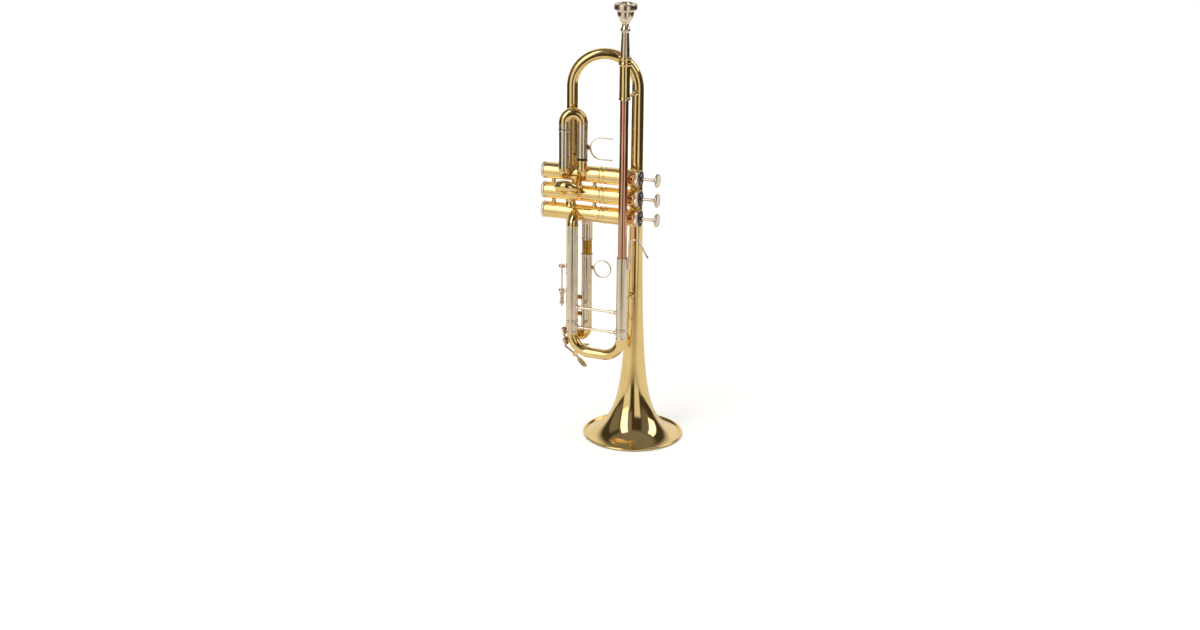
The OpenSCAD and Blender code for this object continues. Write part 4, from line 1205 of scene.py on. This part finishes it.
def make_floor():
    """A wide floor for the camera, and the nearer paper that the metal mirrors instead. The paper
    is painted with shade: dimmer than the floor, and darker still towards the camera."""
    r = FLOOR_REACH
    floor = flat_sheet("floor", ((-r, -r), (r, -r), (r, r), (-r, r)), FLOOR_COLOUR, FLOOR_Z)
    floor.visible_glossy = False
    corners = [Vector((x, y)) for x, y in ((-PAPER_SIDE, PAPER_FRONT), (PAPER_SIDE, PAPER_FRONT),
                                           (PAPER_SIDE, PAPER_FAR), (-PAPER_SIDE, PAPER_FAR))]
    turned = [Matrix.Rotation(CAMERA_TURN, 2) @ c for c in corners]
    paper = flat_sheet("paper", turned, PAPER_SHADED_COLOUR, PAPER_Z)
    paper.visible_camera = False
    paper.visible_diffuse = False
    paper.visible_shadow = False
    tree = paper.data.materials[0].node_tree
    axes = turned_axes(tree, node(tree, "ShaderNodeTexCoord").outputs["Object"])
    # painted shade, darker towards the camera
    near = smooth(tree, maths(tree, "MULTIPLY", axes["Y"], -1), *PAPER_FADE)
    shaded = mix(tree, PAPER_SHADED_COLOUR, PAPER_SHADE, near)
    tree.links.new(shaded, tree.nodes["Principled BSDF"].inputs["Base Color"])


def make_camera():
    sin_turn, cos_turn = math.sin(CAMERA_TURN), math.cos(CAMERA_TURN)
    level = math.cos(CAMERA_TILT)
    back = Vector((sin_turn * level, -cos_turn * level, math.sin(CAMERA_TILT)))
    right = Vector((cos_turn, sin_turn, 0))
    up = back.cross(right)
    rolled_right = math.cos(CAMERA_ROLL) * right + math.sin(CAMERA_ROLL) * up
    rolled_up = -math.sin(CAMERA_ROLL) * right + math.cos(CAMERA_ROLL) * up
    data = bpy.data.cameras.new("camera")
    data.lens = CAMERA_LENS
    data.sensor_width = CAMERA_SENSOR
    camera = bpy.data.objects.new("camera", data)
    turn = Matrix((rolled_right, rolled_up, back)).transposed().to_4x4()
    camera.matrix_world = Matrix.Translation(CAMERA_PLACE) @ turn
    bpy.context.scene.collection.objects.link(camera)
    bpy.context.scene.camera = camera


def window(tree, value, low, high, soft):
    """1 between low and high, and 0 outside them, with soft edges."""
    rise = smooth(tree, value, low - soft, low + soft)
    fall = smooth(tree, value, high + soft, high - soft)
    return maths(tree, "MULTIPLY", rise, fall)


def make_studio():
    """The room that the metal mirrors: dark on the camera's side, with a dim ceiling, a wide pale
    backdrop behind the object, three dim panels, two stretches of pale ground and two soft boxes."""
    world = bpy.data.worlds.new("studio")
    world.use_nodes = True
    tree = world.node_tree
    axes = turned_axes(tree, node(tree, "ShaderNodeTexCoord").outputs["Generated"])
    forward = maths(tree, "MULTIPLY", axes["Y"], -1)
    azimuth = maths(tree, "DEGREES", maths(tree, "ARCTAN2", axes["X"], forward))
    elevation = maths(tree, "DEGREES", maths(tree, "ARCSINE", axes["Z"]))

    ceiling = [CEILING_LEVEL * c for c in WARM]
    colour = mix(tree, ROOM, ceiling, window(tree, elevation, *CEILING))
    slant = maths(tree, "MULTIPLY", elevation, BACKDROP_SLANT)
    behind = maths(tree, "SUBTRACT", maths(tree, "ABSOLUTE", azimuth), slant)
    edge = smooth(tree, behind, *BACKDROP_EDGE)
    top = smooth(tree, elevation, *BACKDROP_TOP)
    bottom = smooth(tree, elevation, *BACKDROP_BOTTOM)
    sheet = maths(tree, "MULTIPLY", edge, maths(tree, "MULTIPLY", top, bottom))
    colour = mix(tree, colour, BACKDROP, sheet)
    for az0, az1, el0, el1, soft, level, tint in PANELS:
        across = window(tree, azimuth, az0, az1, soft)
        up = window(tree, elevation, el0, el1, soft)
        colour = mix(tree, colour, [level * c for c in tint], maths(tree, "MULTIPLY", across, up))
    tree.links.new(colour, tree.nodes["Background"].inputs["Color"])
    bpy.context.scene.world = world


def make_sun():
    """A very wide light overhead, for the floor's soft shadow. The metal mirrors the room instead."""
    data = bpy.data.lights.new("ceiling_glow", "SUN")
    data.angle = SUN_WIDTH
    data.energy = SUN_STRENGTH
    light = bpy.data.objects.new("ceiling_glow", data)
    light.rotation_euler = SUN_LEAN
    light.visible_glossy = False
    bpy.context.scene.collection.objects.link(light)


make_floor()
make_camera()
make_studio()
make_sun()
bpy.context.scene.view_settings.view_transform = "Standard"
